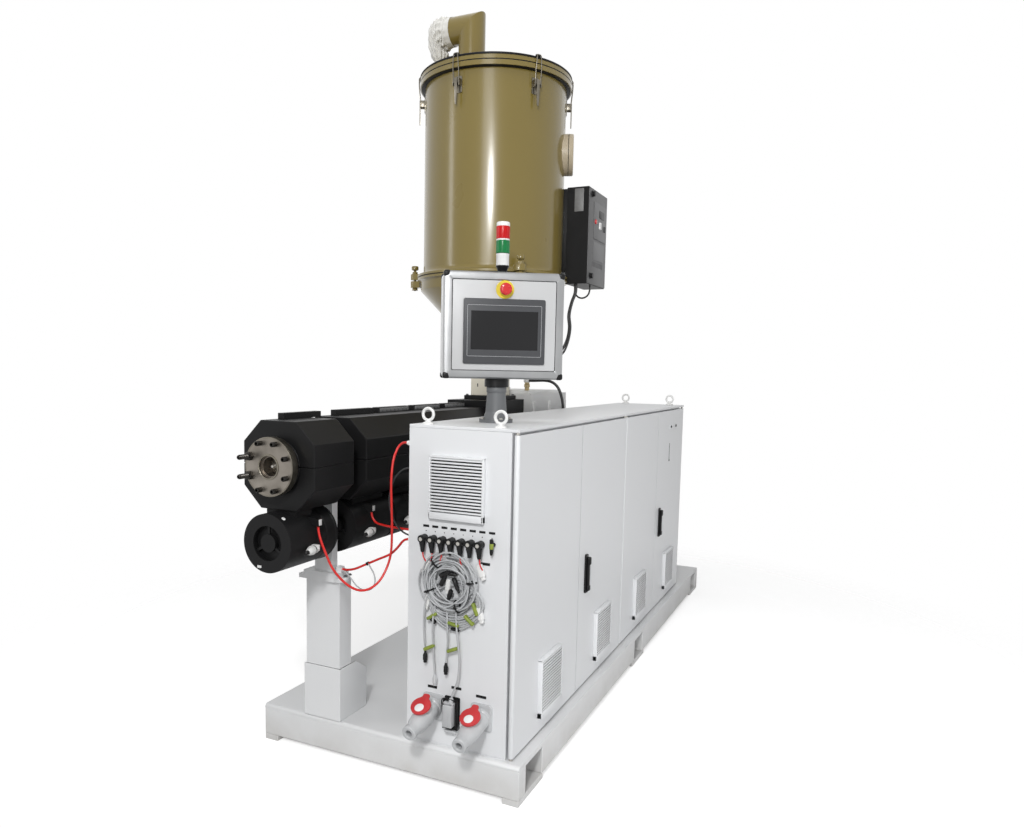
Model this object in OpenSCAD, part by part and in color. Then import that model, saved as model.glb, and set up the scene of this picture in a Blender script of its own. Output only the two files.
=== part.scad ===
// Single screw extruder on a skid, with a hopper dryer, a control cabinet and a swivelling operator panel.
// X runs across the skid to the cabinet side, Y runs back from the die end, Z is up.
// The origin is on the floor under the middle of the skid.

/* [Skid] */
// Width of the skid
base_w = 1000; // [960:10:1200]
// Length of the skid
base_l = 2840; // [2700:10:3200]
// Height of the deck above the floor
base_h = 130; // [110:1:180]
// Thickness of the deck plate
deck_t = 16; // [14:1:24]
// Radius along the deck's front and rear edges
deck_r = 12; // [4:1:14]
// Clear height under the beams
beam_clear = 20; // [10:1:30]
// Width of a fork pocket
pocket_w = 140; // [120:1:180]
// Length of a foot plate along the skid
foot_l = 204; // [190:1:240]
// Distance of the end pockets from the skid's ends
pocket_end = 125; // [110:1:160]
// Width of the toe at each corner of the skid
toe_w = 58; // [40:1:90]

/* [Cabinet] */
// Depth of the cabinet from its back to the doors' outer face
cab_d = 383; // [340:1:420]
// Length of the cabinet
cab_l = 2368; // [2300:1:2500]
// Height of the cabinet
cab_h = 1038; // [960:1:1120]
// Distance of the doors' outer face from the skid's edge
cab_side = 34; // [20:1:60]
// Distance of the cabinet's front panel from the skid's front edge
cab_front = 22; // [10:1:40]
// Thickness of the sheet panels
sheet_t = 3; // [2:0.5:5]
// Thickness of the roof tray
roof_t = 10; // [6:1:16]
// Thickness of a door
door_t = 18; // [14:1:24]
// Gap between neighbouring doors
door_gap = 6; // [5:0.5:10]
// Gap between a door and the cabinet's frame
door_back_gap = 6; // [5:0.5:10]
// Gap above and below a door
door_end_gap = 8; // [6:0.5:14]
// Width of the posts behind the door seams
post_w = 40; // [30:1:60]
// Width of a vent grille
vent_w = 192; // [160:1:240]
// Height of a vent grille
vent_h = 202; // [160:1:240]
// Depth of a vent grille
vent_d = 18; // [12:1:24]
// Number of louvres in a grille
vent_slats = 16; // [8:1:20]
// Height of the door grilles' centre above the deck
vent_z = 161; // [130:1:240]
// Height of a swing handle
handle_h = 150; // [110:1:200]
// Height of the handles' centre above the deck
handle_z = 447; // [380:1:520]
// Ring radius of a lifting eye
eye_r = 24; // [18:1:30]

/* [Operator panel] */
// Width of the command box
hmi_w = 400; // [360:1:460]
// Height of the command box
hmi_h = 350; // [349:1:400]
// Depth of the command box
hmi_d = 140; // [100:1:180]
// Turn of the panel towards the cabinet side
hmi_turn = 33; // [0:1:60]
// Distance of the pedestal behind the cabinet's front panel
hmi_back = 268; // [240:1:400]
// Sideways offset of the box from its column
hmi_shift = 12; // [0:1:60]
// Height of the pedestal casting
pedestal_h = 120; // [90:1:160]
// Height of the swivel coupling
coupling_h = 27; // [20:1:40]
// Width of the screen's bezel
bezel_w = 271; // [240:1:300]
// Height of the screen's bezel
bezel_h = 213; // [180:1:214]
// Diameter of the tower light
tower_d = 45; // [36:1:60]
// Height of one lens of the tower light
lens_h = 42; // [30:1:60]
// Radius of the command box's edge profiles
hmi_edge = 14; // [8:1:20]
// Diameter of the pedestal's foot
foot_d = 114; // [100:1:150]

/* [Extruder] */
// Height of the barrel's axis above the floor
axis_z = 1035; // [1000:1:1100]
// Distance of the barrel's axis from the skid's middle
axis_x = 247; // [220:1:280]
// Overhang of the flange's face past the skid's front edge
flange_over = 263; // [250:1:320]
// Diameter of the screw bore
bore_d = 60; // [50:1:75]
// Diameter of the barrel
barrel_d = 130; // [110:1:150]
// Diameter of the die flange
flange_d = 184; // [178:1:220]
// Thickness of the die flange
flange_t = 28; // [20:1:40]
// Diameter of the breaker plate's seat
seat_d = 70; // [64:1:90]
// Depth of the breaker plate's seat
seat_t = 12; // [8:1:16]
// Bolt circle of the die studs
stud_pcd = 156; // [130:1:158]
// Diameter of a die stud
stud_d = 16; // [12:1:20]
// Free length of the two long die studs
stud_l = 52; // [40:1:80]
// Free length of the other die studs
stud_short = 20; // [14:1:36]
// Number of die studs
stud_n = 8; // [6:1:10]
// Width of the barrel covers across flats
cover_w = 280; // [240:1:320]
// Chamfer of the barrel covers
cover_c = 69; // [40:1:90]
// Length of the front cover
cover_front_l = 206; // [180:1:240]
// Gap between the covers for the support
cover_gap = 71; // [60:1:100]
// Length of the rear cover
cover_rear_l = 1040; // [900:1:1060]
// Distance of the front cover behind the flange's face
cover_set = 46; // [40:1:70]
// Diameter of a blower drum
drum_d = 186; // [150:1:200]
// Gap between a drum and the cover above it
drum_drop = 4; // [2:1:20]
// Length of the terminal bar on the front cover
bar_l = 192; // [150:1:200]
// Diameter of a blower's inlet
inlet_d = 110; // [80:1:130]
// Length of the front blower drum
front_drum_l = 177; // [140:1:190]
// Number of heating zones under the rear cover
zones = 4; // [3:1:5]

/* [Support] */
// Width of the barrel post
post_x = 140; // [110:1:180]
// Depth of the barrel post
post_y = 67; // [50:1:68]
// Height of the barrel post's top above the floor
post_top = 620; // [560:1:660]
// Thickness of the post's head plate
head_t = 30; // [20:1:40]
// Width of the fin that carries the barrel
fin_w = 72; // [50:1:100]
// Thickness of the fin
fin_t = 30; // [20:1:50]
// Height of the post's lower sleeve
sleeve_h = 186; // [150:1:220]
// Length of the post's lower sleeve
sleeve_l = 160; // [130:1:200]

/* [Hopper dryer] */
// Radius of the hopper's shell
hopper_r = 329; // [300:1:360]
// Thickness of the insulated wall
hopper_wall = 40; // [20:1:50]
// Distance of the hopper's axis behind the feed throat's front
feed_set = 211; // [200:1:230]
// Height of the joint between the cone and the shell
joint_z = 1772; // [1740:1:1850]
// Height of the shell
shell_h = 866; // [800:1:960]
// Thickness of the lid
lid_t = 49; // [36:1:60]
// Thickness of one joint flange
rim_t = 13; // [10:1:18]
// Radius of the hopper's neck
neck_r = 66; // [58:1:68]
// Height of the neck
neck_h = 116; // [90:1:130]
// Height of the gate box
gate_h = 86; // [70:1:100]
// Width of the gate box
gate_w = 142; // [138:1:170]
// Thickness of the plate under the gate box
plate_t = 19; // [14:1:26]
// Width of the plate under the gate box
plate_w = 190; // [186:1:220]
// Diameter of the exhaust pipe
pipe_d = 125; // [110:1:140]
// Wall of the exhaust pipe
pipe_t = 3; // [2:0.5:5]
// Height of the exhaust bend above the lid
bend_h = 240; // [180:1:280]
// Length of the exhaust branch from the bend's axis
branch_l = 130; // [110:1:180]
// Diameter of the inspection port
port_d = 186; // [140:1:210]
// Length of the port outside the shell
port_l = 40; // [25:1:60]
// Height of the port above the joint
port_z = 580; // [520:1:650]
// Depth of the heater box
heater_d = 105; // [90:1:140]
// Width of the heater box
heater_w = 274; // [220:1:300]
// Height of the heater box
heater_h = 442; // [380:1:480]

/* [Panel fittings] */
// Number of plugs in the row on the front panel
plug_n = 7; // [4:1:7]
// Distance between neighbouring plugs
plug_pitch = 33.5; // [30:0.5:36]
// Height of the plug row above the deck
plug_z = 676; // [660:1:700]
// Height of the power inlets above the deck
inlet_z = 125; // [110:1:150]
// Length of a power inlet with its connector
inlet_l = 160; // [130:1:190]
// Mean radius of the cable coil
coil_r = 78; // [70:1:90]
// Thickness of the cable coil
coil_t = 34; // [24:1:40]

/* [Drive] */
// Width of the gearbox
gear_w = 340; // [320:1:360]
// Length of the gearbox
gear_l = 500; // [440:1:540]
// Height of the gearbox
gear_h = 402; // [380:1:440]
// Diameter of the drive motor's body
motor_d = 330; // [300:1:340]
// Length of the drive motor's body
motor_l = 520; // [460:1:540]

/* [Hidden] */
$fn = 64;
eps = 0.3;
fit = 0.05;

// Skid
base_x = base_w / 2;
base_y = base_l / 2;
beam_top = base_h - deck_t;
pocket_ys = [-base_y + pocket_end, 0, base_y - pocket_end];
toe_l = 30;

// Cabinet
door_face = base_x - cab_side;
door_back = door_face - door_t;
cab_x1 = door_back - door_back_gap;
cab_x0 = door_face - cab_d;
cab_y0 = -base_y + cab_front;
cab_y1 = cab_y0 + cab_l;
cab_z0 = base_h;
cab_z1 = cab_z0 + cab_h;
roof_z = cab_z1 - roof_t;
door_z0 = cab_z0 + door_end_gap;
door_z1 = roof_z - door_end_gap;
door_pitch = cab_l / 4;
door_w = door_pitch - door_gap;
pivot_x = door_face - door_t / 2;
pivot_r = door_t / 3;
lip_w = 28;
eye_t = 12;
eye_in = 30;
eye_side = 128;

// Operator panel
hmi_x = (cab_x0 + cab_x1) / 2;
hmi_y = cab_y0 + hmi_back;
coupling_z = cab_z1 + pedestal_h;
hmi_z0 = coupling_z + coupling_h + eps;
hmi_z1 = hmi_z0 + hmi_h;
panel_set = 3;
panel_face = -hmi_d / 2 + panel_set;
frame_w = 27;
bezel_t = 8;
bezel_drop = 20;
estop_r = 30;
column_r0 = 38;
column_r1 = 30;

// Extruder
flange_y = -base_y - flange_over;
barrel_r = barrel_d / 2;
bore_r = bore_d / 2;
cover_y0 = flange_y + cover_set;
cover_y1 = cover_y0 + cover_front_l;
cover_y2 = cover_y1 + cover_gap;
cover_y3 = cover_y2 + cover_rear_l;
throat_y0 = cover_y3 + 4;
throat_l = 346;
gear_y0 = throat_y0 + throat_l;
throat_w = 240;
drum_r = drum_d / 2;
drum_z = axis_z - cover_w / 2 - drum_drop - drum_r;
zone_l = cover_rear_l / zones;
drum_gap = 12;
fin_y = (cover_y1 + cover_y2) / 2;
drum_y0 = flange_y - 8;
gland_up = 44;
gland_out = 9;
gland_h = 26;
gland_x = -axis_x + drum_r + 6;
boss_r = 82;
boss_l = 14;
bar_in = 66;
sleeve_t = 6;
post_y0 = -base_y + sleeve_t;

// Hopper dryer
hop_x = -axis_x;
hop_y = throat_y0 + feed_set;
shell_r = hopper_r - hopper_wall;
rim_r = hopper_r + 16;
lid_z = joint_z + shell_h;
lid_r = hopper_r + 24;
throat_h = 170;
plate_z = axis_z + throat_h;
gate_z = plate_z + plate_t;
neck_z = gate_z + gate_h;
cone_z = neck_z + neck_h;
pipe_x = hop_x - 108;
pipe_y = hop_y - 45;
pipe_r = pipe_d / 2;
bend_z = lid_z + lid_t + bend_h;
neck_wall = 20;
lug_l = 50;
lug_w = 46;
lug_h = 34;
bolt_r = 7;
heater_x0 = hop_x + rim_r - 8;
heater_y0 = hop_y + 85;
heater_z0 = joint_z - 17;
probe_turn = -30;
probe_z = 1500;
probe_l = 18;

// Drive
gear_z0 = axis_z - 205;
motor_z = axis_z - 90;
motor_y0 = gear_y0 + gear_l + 90;
motor_foot = 20;
motor_half = 140;
hose_y = gear_y0 + 120;
hose_x = -axis_x + 85;
hose_z = gear_z0 + gear_h + 64;
hose_low = axis_z - 45;
hose_stub = 12;

// Front panel fittings
panel_x = cab_x0;
plug_x = panel_x + 62;
inlet_xs = [panel_x + 102, panel_x + 276];
inlet_tilt = 11;
inlet_r = 32;
nozzle_r = 22;
lid_disc_r = 33;
lid_disc_t = 7;
lid_tilt = 28;
coil_x = panel_x + 162;
coil_z = cab_z0 + 545;
lead_gland = 8;

// Routes of the leads, in millimetres
red_d = 8;
red_1 = [[-148, -1567, 842], [-144, -1567, 815], [-130, -1564, 775], [-104, -1545, 700], [-64, -1517, 647],
         [-30, -1482, 629], [0, -1440, 654], [14, -1400, 722], [20, -1398, 812], [27, -1412, 885],
         [36, -1430, 985], [37, -1420, 1050], [38, -1406, 1075], [42, -1399, 1091], [53, -1396, 1103],
         [64, -1396, 1107], [75, -1396, 1107]];
red_2 = [[-177, -1396, 661], [-158, -1396, 661], [-130, -1392, 667], [-90, -1384, 686], [-40, -1379, 710],
         [0, -1374, 730], [34, -1374, 762], [50, -1379, 782], [62, -1382, 790], [75, -1382, 790]];
red_3 = [[-148, -1267, 842], [-146, -1267, 826], [-135, -1268, 810], [-116, -1270, 802], [-60, -1280, 799],
         [0, -1288, 799], [50, -1290, 800], [75, -1290, 800]];
hose_d = 14;
hose = [[-150, 150, 1296], [-125, 150, 1296], [-64, 150, 1298], [-24, 150, 1290], [8, 150, 1262],
        [28, 150, 1212], [36, 150, 1155], [32, 150, 1085], [8, 150, 1025], [-22, 150, 994], [-45, 150, 990],
        [-65, 150, 990]];
dryer_d = 10;
dryer_lead = [[140, 0, 1755], [140, -2, 1715], [128, -14, 1670], [118, -20, 1610], [124, -20, 1550],
              [114, -22, 1484], [92, -36, 1428], [50, -90, 1396], [0, -150, 1388], [-48, -190, 1412],
              [-100, -190, 1464], [-127, -174.5, 1488.5]];
loop_d = 8;
dryer_loop = [[112, 60, 1755], [112, 60, 1732], [124, 60, 1706], [149, 60, 1695], [174, 60, 1706], [186, 60, 1732],
              [186, 60, 1755]];
grey_d = 6;
grey_1 = [[174, -1416, 640], [160, -1420, 590], [156, -1418, 520], [160, -1414, 436]];
grey_2 = [[200, -1416, 610], [192, -1424, 550], [190, -1418, 470], [196, -1414, 366]];
grey_3 = [[238, -1416, 594], [244, -1424, 540], [243, -1418, 480], [236, -1414, 410]];
grey_4 = [[270, -1416, 594], [278, -1424, 530], [288, -1424, 440], [284, -1424, 370], [266, -1424, 318],
          [262, -1424, 288]];
plug_ends = [[162, -1414, 436], [198, -1414, 366], [234, -1414, 410]];

white = [0.87, 0.88, 0.87];
black = [0.07, 0.07, 0.075];
steel = [0.62, 0.6, 0.56];
olive = [0.5, 0.46, 0.34];
grey = [0.4, 0.42, 0.43];

// A block between two corners
module block(low, high) {
    translate(low) cube(high - low);
}

// A round bar along Y
module bar_y(x, z, y0, y1, r) {
    translate([x, y0, z]) rotate([-90, 0, 0]) cylinder(h = y1 - y0, r = r);
}

// A round bar along X
module bar_x(y, z, x0, x1, r) {
    translate([x0, y, z]) rotate([0, 90, 0]) cylinder(h = x1 - x0, r = r);
}

// A rectangle in a plane with rounded upper corners
module round_top(l, h, r) {
    translate([-l / 2, 0]) square([l, h - r]);
    translate([-l / 2 + r, 0]) square([l - 2 * r, h]);
    for (s = [-1, 1]) translate([s * (l / 2 - r), h - r]) intersection() {
        circle(r);
        translate([-r, 0]) square([2 * r, r]);
    }
}

// A rectangle in a plane with four rounded corners
module round_rect(w, d, r) {
    translate([-w / 2 + r, -d / 2]) square([w - 2 * r, d]);
    translate([-w / 2, -d / 2 + r]) square([w, d - 2 * r]);
    for (sx = [-1, 1], sy = [-1, 1]) translate([sx * (w / 2 - r), sy * (d / 2 - r)]) circle(r);
}

function unit(v) = v / norm(v);
function along(route, i) = unit(route[min(i + 1, len(route) - 1)] - route[max(i - 1, 0)]);

// Sum of the first n members of a list
function sum_to(list, n) = n == 0 ? 0 : list[n - 1] + sum_to(list, n - 1);

// A lead of round section along a route
module lead(route, d, sides = 8) {
    n = len(route);
    rings = [for (i = [0:n - 1])
        let (t = along(route, i), a = unit(cross([0, 1, 0], t)), b = cross(t, a))
        for (k = [0:sides - 1])
            route[i] + d / 2 * (cos(360 * k / sides) * a + sin(360 * k / sides) * b)];
    walls = [for (i = [0:n - 2], k = [0:sides - 1])
        let (k2 = (k + 1) % sides)
        [i * sides + k, (i + 1) * sides + k, (i + 1) * sides + k2, i * sides + k2]];
    ends = [[for (k = [0:sides - 1]) k], [for (k = [sides - 1:-1:0]) (n - 1) * sides + k]];
    polyhedron(points = rings, faces = concat(walls, ends));
}

// Deck plate of the skid
module base_deck() {
    color(white) translate([base_x, 0, beam_top]) rotate([90, 0, -90])
        linear_extrude(base_w) round_top(base_l, deck_t, deck_r);
}

// Closed beams between the fork pockets
module base_beams() {
    ends = [-base_y, base_y];
    color(white) for (i = [0:3]) {
        y0 = i == 0 ? ends[0] : pocket_ys[i - 1] + pocket_w / 2;
        y1 = i == 3 ? ends[1] : pocket_ys[i] - pocket_w / 2;
        block([-base_x, y0, beam_clear], [base_x, y1, beam_top]);
    }
}

// Foot plates under the fork pockets, with toes at the skid's corners
module foot_plates() {
    color(white) for (i = [0:2]) {
        y0 = i == 0 ? -base_y + toe_l : i == 1 ? -foot_l / 2 : base_y - foot_l;
        y1 = i == 0 ? -base_y + foot_l : i == 1 ? foot_l / 2 : base_y - toe_l;
        block([-base_x, y0, 0], [base_x, y1, beam_clear]);
        if (i != 1) for (s = [-1, 1]) {
            x0 = s < 0 ? -base_x : base_x - toe_w;
            ty = i == 0 ? -base_y : base_y - toe_l;
            block([x0, ty, 0], [x0 + toe_w, ty + toe_l, beam_clear]);
        }
    }
}

// Lip along the door openings, behind the doors
module door_lip(z0, z1) {
    block([cab_x1 - sheet_t, cab_y0 + lip_w, z0], [cab_x1, cab_y1 - lip_w, z1]);
}

// Floor sheet of the cabinet
module cabinet_floor() {
    color(white) {
        block([cab_x0, cab_y0, cab_z0], [cab_x1, cab_y1, cab_z0 + sheet_t]);
        door_lip(cab_z0, cab_z0 + lip_w);
    }
}

// Roof tray, which also covers the doors' upper ends
module cabinet_roof() {
    color(white) {
        block([cab_x0, cab_y0, roof_z], [door_face, cab_y1, cab_z1]);
        door_lip(roof_z - lip_w, cab_z1);
    }
}

// A sheet across one end of the cabinet, with a flange along the door opening from y1 to y2
module end_sheet(y0, y1, y2) {
    block([cab_x0, y0, cab_z0 + sheet_t], [cab_x1, y0 + sheet_t, roof_z]);
    block([cab_x1 - sheet_t, y1, cab_z0 + sheet_t], [cab_x1, y2, roof_z]);
}

module cabinet_front_panel() {
    color(white) end_sheet(cab_y0, cab_y0, cab_y0 + lip_w);
}

module cabinet_rear_panel() {
    color(white) end_sheet(cab_y1 - sheet_t, cab_y1 - lip_w, cab_y1);
}

module cabinet_back_panel() {
    color(white) block([cab_x0, cab_y0 + sheet_t, cab_z0 + sheet_t],
                       [cab_x0 + sheet_t, cab_y1 - sheet_t, roof_z]);
}

// Post behind the seam between the two double doors
module cabinet_posts() {
    mid = cab_y0 + 2 * door_pitch;
    color(white) block([cab_x1 - post_w, mid - post_w / 2, cab_z0 + sheet_t],
                       [cab_x1 - sheet_t, mid + post_w / 2, roof_z]);
}

// Louvred grille, facing -Y, with its back on the plane y = 0 and its centre at the origin
module grille() {
    rim = vent_w * 0.08;
    clear = vent_w - 2 * rim;
    high = vent_h - 2 * rim;
    pitch = high / vent_slats;
    lip = 7;
    back = 4;
    difference() {
        translate([-vent_w / 2, -vent_d, -vent_h / 2]) cube([vent_w, vent_d, vent_h]);
        translate([-clear / 2, -vent_d - 1, -high / 2]) cube([clear, vent_d - back + 1, high]);
    }
    for (i = [0:vent_slats - 1])
        translate([-clear / 2, -back, -high / 2 + (i + 0.4) * pitch])
            rotate([90, 0, 90]) linear_extrude(clear)
                polygon([[0, pitch * 0.3], [0, pitch * 0.55], [-vent_d + lip, -pitch * 0.05], [-vent_d + lip, -pitch * 0.3]]);
}

module front_vent() {
    x = cab_x0 + 178;
    z = cab_z0 + 844;
    color(white) translate([x, cab_y0, z]) grille();
}

// Four lifting eyes on the roof
module lifting_eyes() {
    color(white) for (sx = [-1, 1], sy = [-1, 1]) {
        x = hmi_x + sx * eye_side;
        y = sy < 0 ? cab_y0 + eye_in : cab_y1 - eye_in;
        translate([x, y, cab_z1]) {
            cylinder(h = 10, r = eye_r * 0.8);
            translate([0, 0, 10 + eye_r - 2]) rotate([90, 0, 0])
                difference() {
                    translate([0, 0, -eye_t / 2]) cylinder(h = eye_t, r = eye_r);
                    translate([0, 0, -eye_t]) cylinder(h = 2 * eye_t, r = eye_r * 0.58);
                }
        }
    }
}

// Y of a door's pivot: doors 1 and 3 turn at their front edges, doors 2 and 4 at their rear edges
function door_y0(i) = cab_y0 + (i - 1) * door_pitch + (i == 1 ? 0 : door_gap / 2);
function door_y1(i) = cab_y0 + i * door_pitch - (i == 4 ? 0 : door_gap / 2);
function at_front(i) = i == 1 || i == 3;
function pivot_y(i) = at_front(i) ? door_y0(i) + door_t / 2 : door_y1(i) - door_t / 2;

// Pivot stubs that carry the doors, on the deck and under the roof
module door_pivots() {
    color(grey) for (i = [1:4]) translate([pivot_x, pivot_y(i), 0]) {
        translate([0, 0, cab_z0]) cylinder(h = door_end_gap - eps, r = pivot_r);
        translate([0, 0, door_z1 + eps]) cylinder(h = door_end_gap - eps, r = pivot_r);
    }
}

// A door leaf with a round edge at its pivot
module door(i) {
    y0 = at_front(i) ? pivot_y(i) : door_y0(i);
    y1 = at_front(i) ? door_y1(i) : pivot_y(i);
    color(white) union() {
        block([door_back, y0, door_z0], [door_face, y1, door_z1]);
        translate([pivot_x, pivot_y(i), door_z0]) cylinder(h = door_z1 - door_z0, r = door_t / 2);
    }
}

module door_vent(i) {
    color(white) translate([door_face, (door_y0(i) + door_y1(i)) / 2, cab_z0 + vent_z])
        rotate([0, 0, 90]) grille();
}

// Swing handle in a dished plate, at the free edge of the leaf
module swing_handle(i) {
    w = 30;
    y = door_y0(i) + 76;
    color(black) translate([door_face, y, cab_z0 + handle_z]) {
        translate([0, -w / 2, -handle_h / 2]) cube([8, w, handle_h]);
        translate([8, -w / 3, -handle_h / 2 + 8]) cube([14, w * 2 / 3, handle_h - 40]);
        translate([8, 0, handle_h / 2 - 18]) rotate([0, 90, 0]) cylinder(h = 14, r = 12);
    }
}

// Cast pedestal with a flanged foot and the swivel coupling
module hmi_pedestal() {
    foot_t = 12;
    root_h = 24;
    color(grey) translate([hmi_x, hmi_y, cab_z1]) {
        cylinder(h = foot_t, r = foot_d / 2);
        translate([0, 0, foot_t]) cylinder(h = root_h, r1 = column_r0 + 6, r2 = column_r0 - 2);
        translate([0, 0, foot_t + root_h])
            cylinder(h = pedestal_h - foot_t - root_h, r1 = column_r0 - 2, r2 = column_r1);
        translate([0, 0, pedestal_h]) cylinder(h = coupling_h, r = column_r0);
    }
}

// Places its children in the operator panel's own frame: front towards -Y, foot at z = 0
module on_panel() {
    translate([hmi_x, hmi_y, hmi_z0]) rotate([0, 0, hmi_turn]) translate([hmi_shift, 0, 0]) children();
}

// Command box of rounded aluminium profiles round a sunk front panel
module hmi_box() {
    color(steel) on_panel() difference() {
        linear_extrude(hmi_h) round_rect(hmi_w, hmi_d, hmi_edge);
        translate([-hmi_w / 2 + frame_w, -hmi_d / 2 - 1, frame_w])
            cube([hmi_w - 2 * frame_w, panel_set + 1, hmi_h - 2 * frame_w]);
    }
}

// Touch screen with its bezel
module hmi_screen() {
    rim = 20;
    sunk = 2;
    color(grey) on_panel() translate([0, panel_face - bezel_t, hmi_h / 2 - bezel_h / 2 - bezel_drop])
        difference() {
            translate([-bezel_w / 2, 0, 0]) cube([bezel_w, bezel_t, bezel_h]);
            translate([-bezel_w / 2 + rim, -1, rim]) cube([bezel_w - 2 * rim, sunk + 1, bezel_h - 2 * rim]);
        }
}

// Mushroom button on its yellow plate
module emergency_stop() {
    z = hmi_h / 2 + bezel_h / 2 - bezel_drop + estop_r + 0.5;
    plate = 6;
    neck = 14;
    color("red") on_panel() translate([0, panel_face, z]) rotate([90, 0, 0]) {
        cylinder(h = plate, r = estop_r);
        translate([0, 0, plate]) cylinder(h = neck, r = 13);
        translate([0, 0, plate + neck]) cylinder(h = 12, r = 20);
    }
}

// Stacked signal light on the box: foot, base, lower lens, ring, upper lens and cap
module tower_light() {
    r = tower_d / 2;
    stack = [[27, r + 4], [lens_h - 2, r - 1], [lens_h, r], [4, r - 2], [lens_h, r], [16, r - 2]];
    heights = [for (p = stack) p[0]];
    color("green") on_panel() for (i = [0:len(stack) - 1])
        translate([0, 0, hmi_h + sum_to(heights, i)]) cylinder(h = stack[i][0], r = stack[i][1]);
}

// Welded post in a sleeve of plates with cut corners
module barrel_post() {
    w = post_x + 2 * sleeve_t;
    cut = [0.4 * sleeve_l, 0.22 * sleeve_h];
    color(white) {
        translate([-axis_x - post_x / 2, post_y0, base_h]) cube([post_x, post_y, post_top - base_h]);
        translate([-axis_x - w / 2, -base_y, base_h]) cube([w, sleeve_t, sleeve_h]);
        for (x = [-axis_x - w / 2, -axis_x + post_x / 2]) translate([x, -base_y, base_h])
            rotate([90, 0, 90]) linear_extrude(sleeve_t)
                polygon([[0, 0], [sleeve_l, 0], [sleeve_l, sleeve_h - cut[1]], [sleeve_l - cut[0], sleeve_h], [0, sleeve_h]]);
    }
}

// Head plates, the sensor's clip and the fin that carries the barrel between the covers
module post_head() {
    over = 20;
    low = head_t / 2;
    clip = 20;
    y0 = fin_y - post_y / 2;
    round_x = -axis_x + post_x / 2 + over - post_y / 2;
    color(white) difference() {
        union() {
            block([-axis_x - post_x / 2 - over, y0, post_top], [round_x, y0 + post_y, post_top + low]);
            translate([round_x, fin_y, post_top]) cylinder(h = low, r = post_y / 2);
            block([-axis_x + post_x / 2 - clip, fin_y - clip / 2, post_top + head_t - 1],
                  [-axis_x + post_x / 2, fin_y + clip / 2, post_top + head_t + clip]);
            translate([-axis_x - post_x / 2, y0, post_top + low]) cube([post_x, post_y, head_t - low]);
            translate([-axis_x - fin_w / 2, fin_y - fin_t / 2, post_top + head_t])
                cube([fin_w, fin_t, axis_z - post_top - head_t]);
        }
        bar_y(-axis_x, axis_z, fin_y - fin_t, fin_y + fin_t, barrel_r + fit);
    }
}

// Barrel with its die flange, bored for the screw and seated for the breaker plate
module barrel() {
    color(steel) difference() {
        union() {
            bar_y(-axis_x, axis_z, flange_y, throat_y0, barrel_r);
            bar_y(-axis_x, axis_z, flange_y, flange_y + flange_t, flange_d / 2);
        }
        bar_y(-axis_x, axis_z, flange_y - 1, throat_y0 + 1, bore_r);
        bar_y(-axis_x, axis_z, flange_y - 1, flange_y + seat_t, seat_d / 2);
    }
}

// Studs round the die flange, the two on the far side longer than the others
module flange_studs() {
    socket = 8;
    color(steel) for (i = [0:stud_n - 1]) {
        a = (i + 0.5) * 360 / stud_n;
        x = -axis_x + stud_pcd / 2 * cos(a);
        z = axis_z + stud_pcd / 2 * sin(a);
        l = cos(a) < -0.8 ? stud_l : stud_short;
        difference() {
            bar_y(x, z, flange_y - l, flange_y, stud_d / 2);
            bar_y(x, z, flange_y - l - 1, flange_y - l + socket, stud_d / 4);
        }
    }
}

// Screw in the barrel, with a conical tip
module screw() {
    tip = 34;
    y0 = flange_y + seat_t + 6;
    r = bore_r - fit;
    color(steel) {
        translate([-axis_x, y0 + tip, axis_z]) rotate([90, 0, 0]) cylinder(h = tip, r1 = r, r2 = 4);
        bar_y(-axis_x, axis_z, y0 + tip, gear_y0 - eps, r);
    }
}

// Outline of half an octagonal cover, seen along the barrel
function half_cover(gap) = [
    [-cover_w / 2, gap], [cover_w / 2, gap], [cover_w / 2, cover_w / 2 - cover_c],
    [cover_w / 2 - cover_c, cover_w / 2], [-cover_w / 2 + cover_c, cover_w / 2],
    [-cover_w / 2, cover_w / 2 - cover_c]
];

// Cover halves along the barrel, up = 1 for the upper ones, the front one with a round boss
module cover_halves(up) {
    spans = [[cover_y0, cover_y1], [cover_y2, cover_y3]];
    half = up > 0 ? 0.5 : -cover_w - 0.5;
    for (s = spans) difference() {
        union() {
            translate([-axis_x, s[1], axis_z]) rotate([90, 0, 0]) linear_extrude(s[1] - s[0])
                polygon([for (p = half_cover(0.5)) [p[0], up * p[1]]]);
            if (s[0] == cover_y0) intersection() {
                bar_y(-axis_x, axis_z, s[0] - boss_l, s[0] + 1, boss_r);
                translate([-axis_x - cover_w / 2, s[0] - 2 * boss_l, axis_z + half]) cube([cover_w, 3 * boss_l, cover_w]);
            }
        }
        bar_y(-axis_x, axis_z, s[0] - 2 * boss_l, s[1] + 1, barrel_r + fit);
    }
}

module covers_upper() {
    color(black) cover_halves(1);
}

module covers_lower() {
    color(black) cover_halves(-1);
}

// Terminal bars along the covers' top, one for each zone
module terminal_covers() {
    w = 25;
    h = 20;
    x = -axis_x - 58;
    top = axis_z + cover_w / 2;
    color(black) {
        block([x, cover_y0 + bar_in, top], [x + w, cover_y0 + bar_in + bar_l, top + h]);
        for (i = [0:zones - 1]) {
            y0 = cover_y2 + i * zone_l + bar_in;
            block([x, y0, top], [x + w, min(y0 + zone_l - 24, cover_y3 - 4), top + h]);
        }
    }
}

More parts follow.
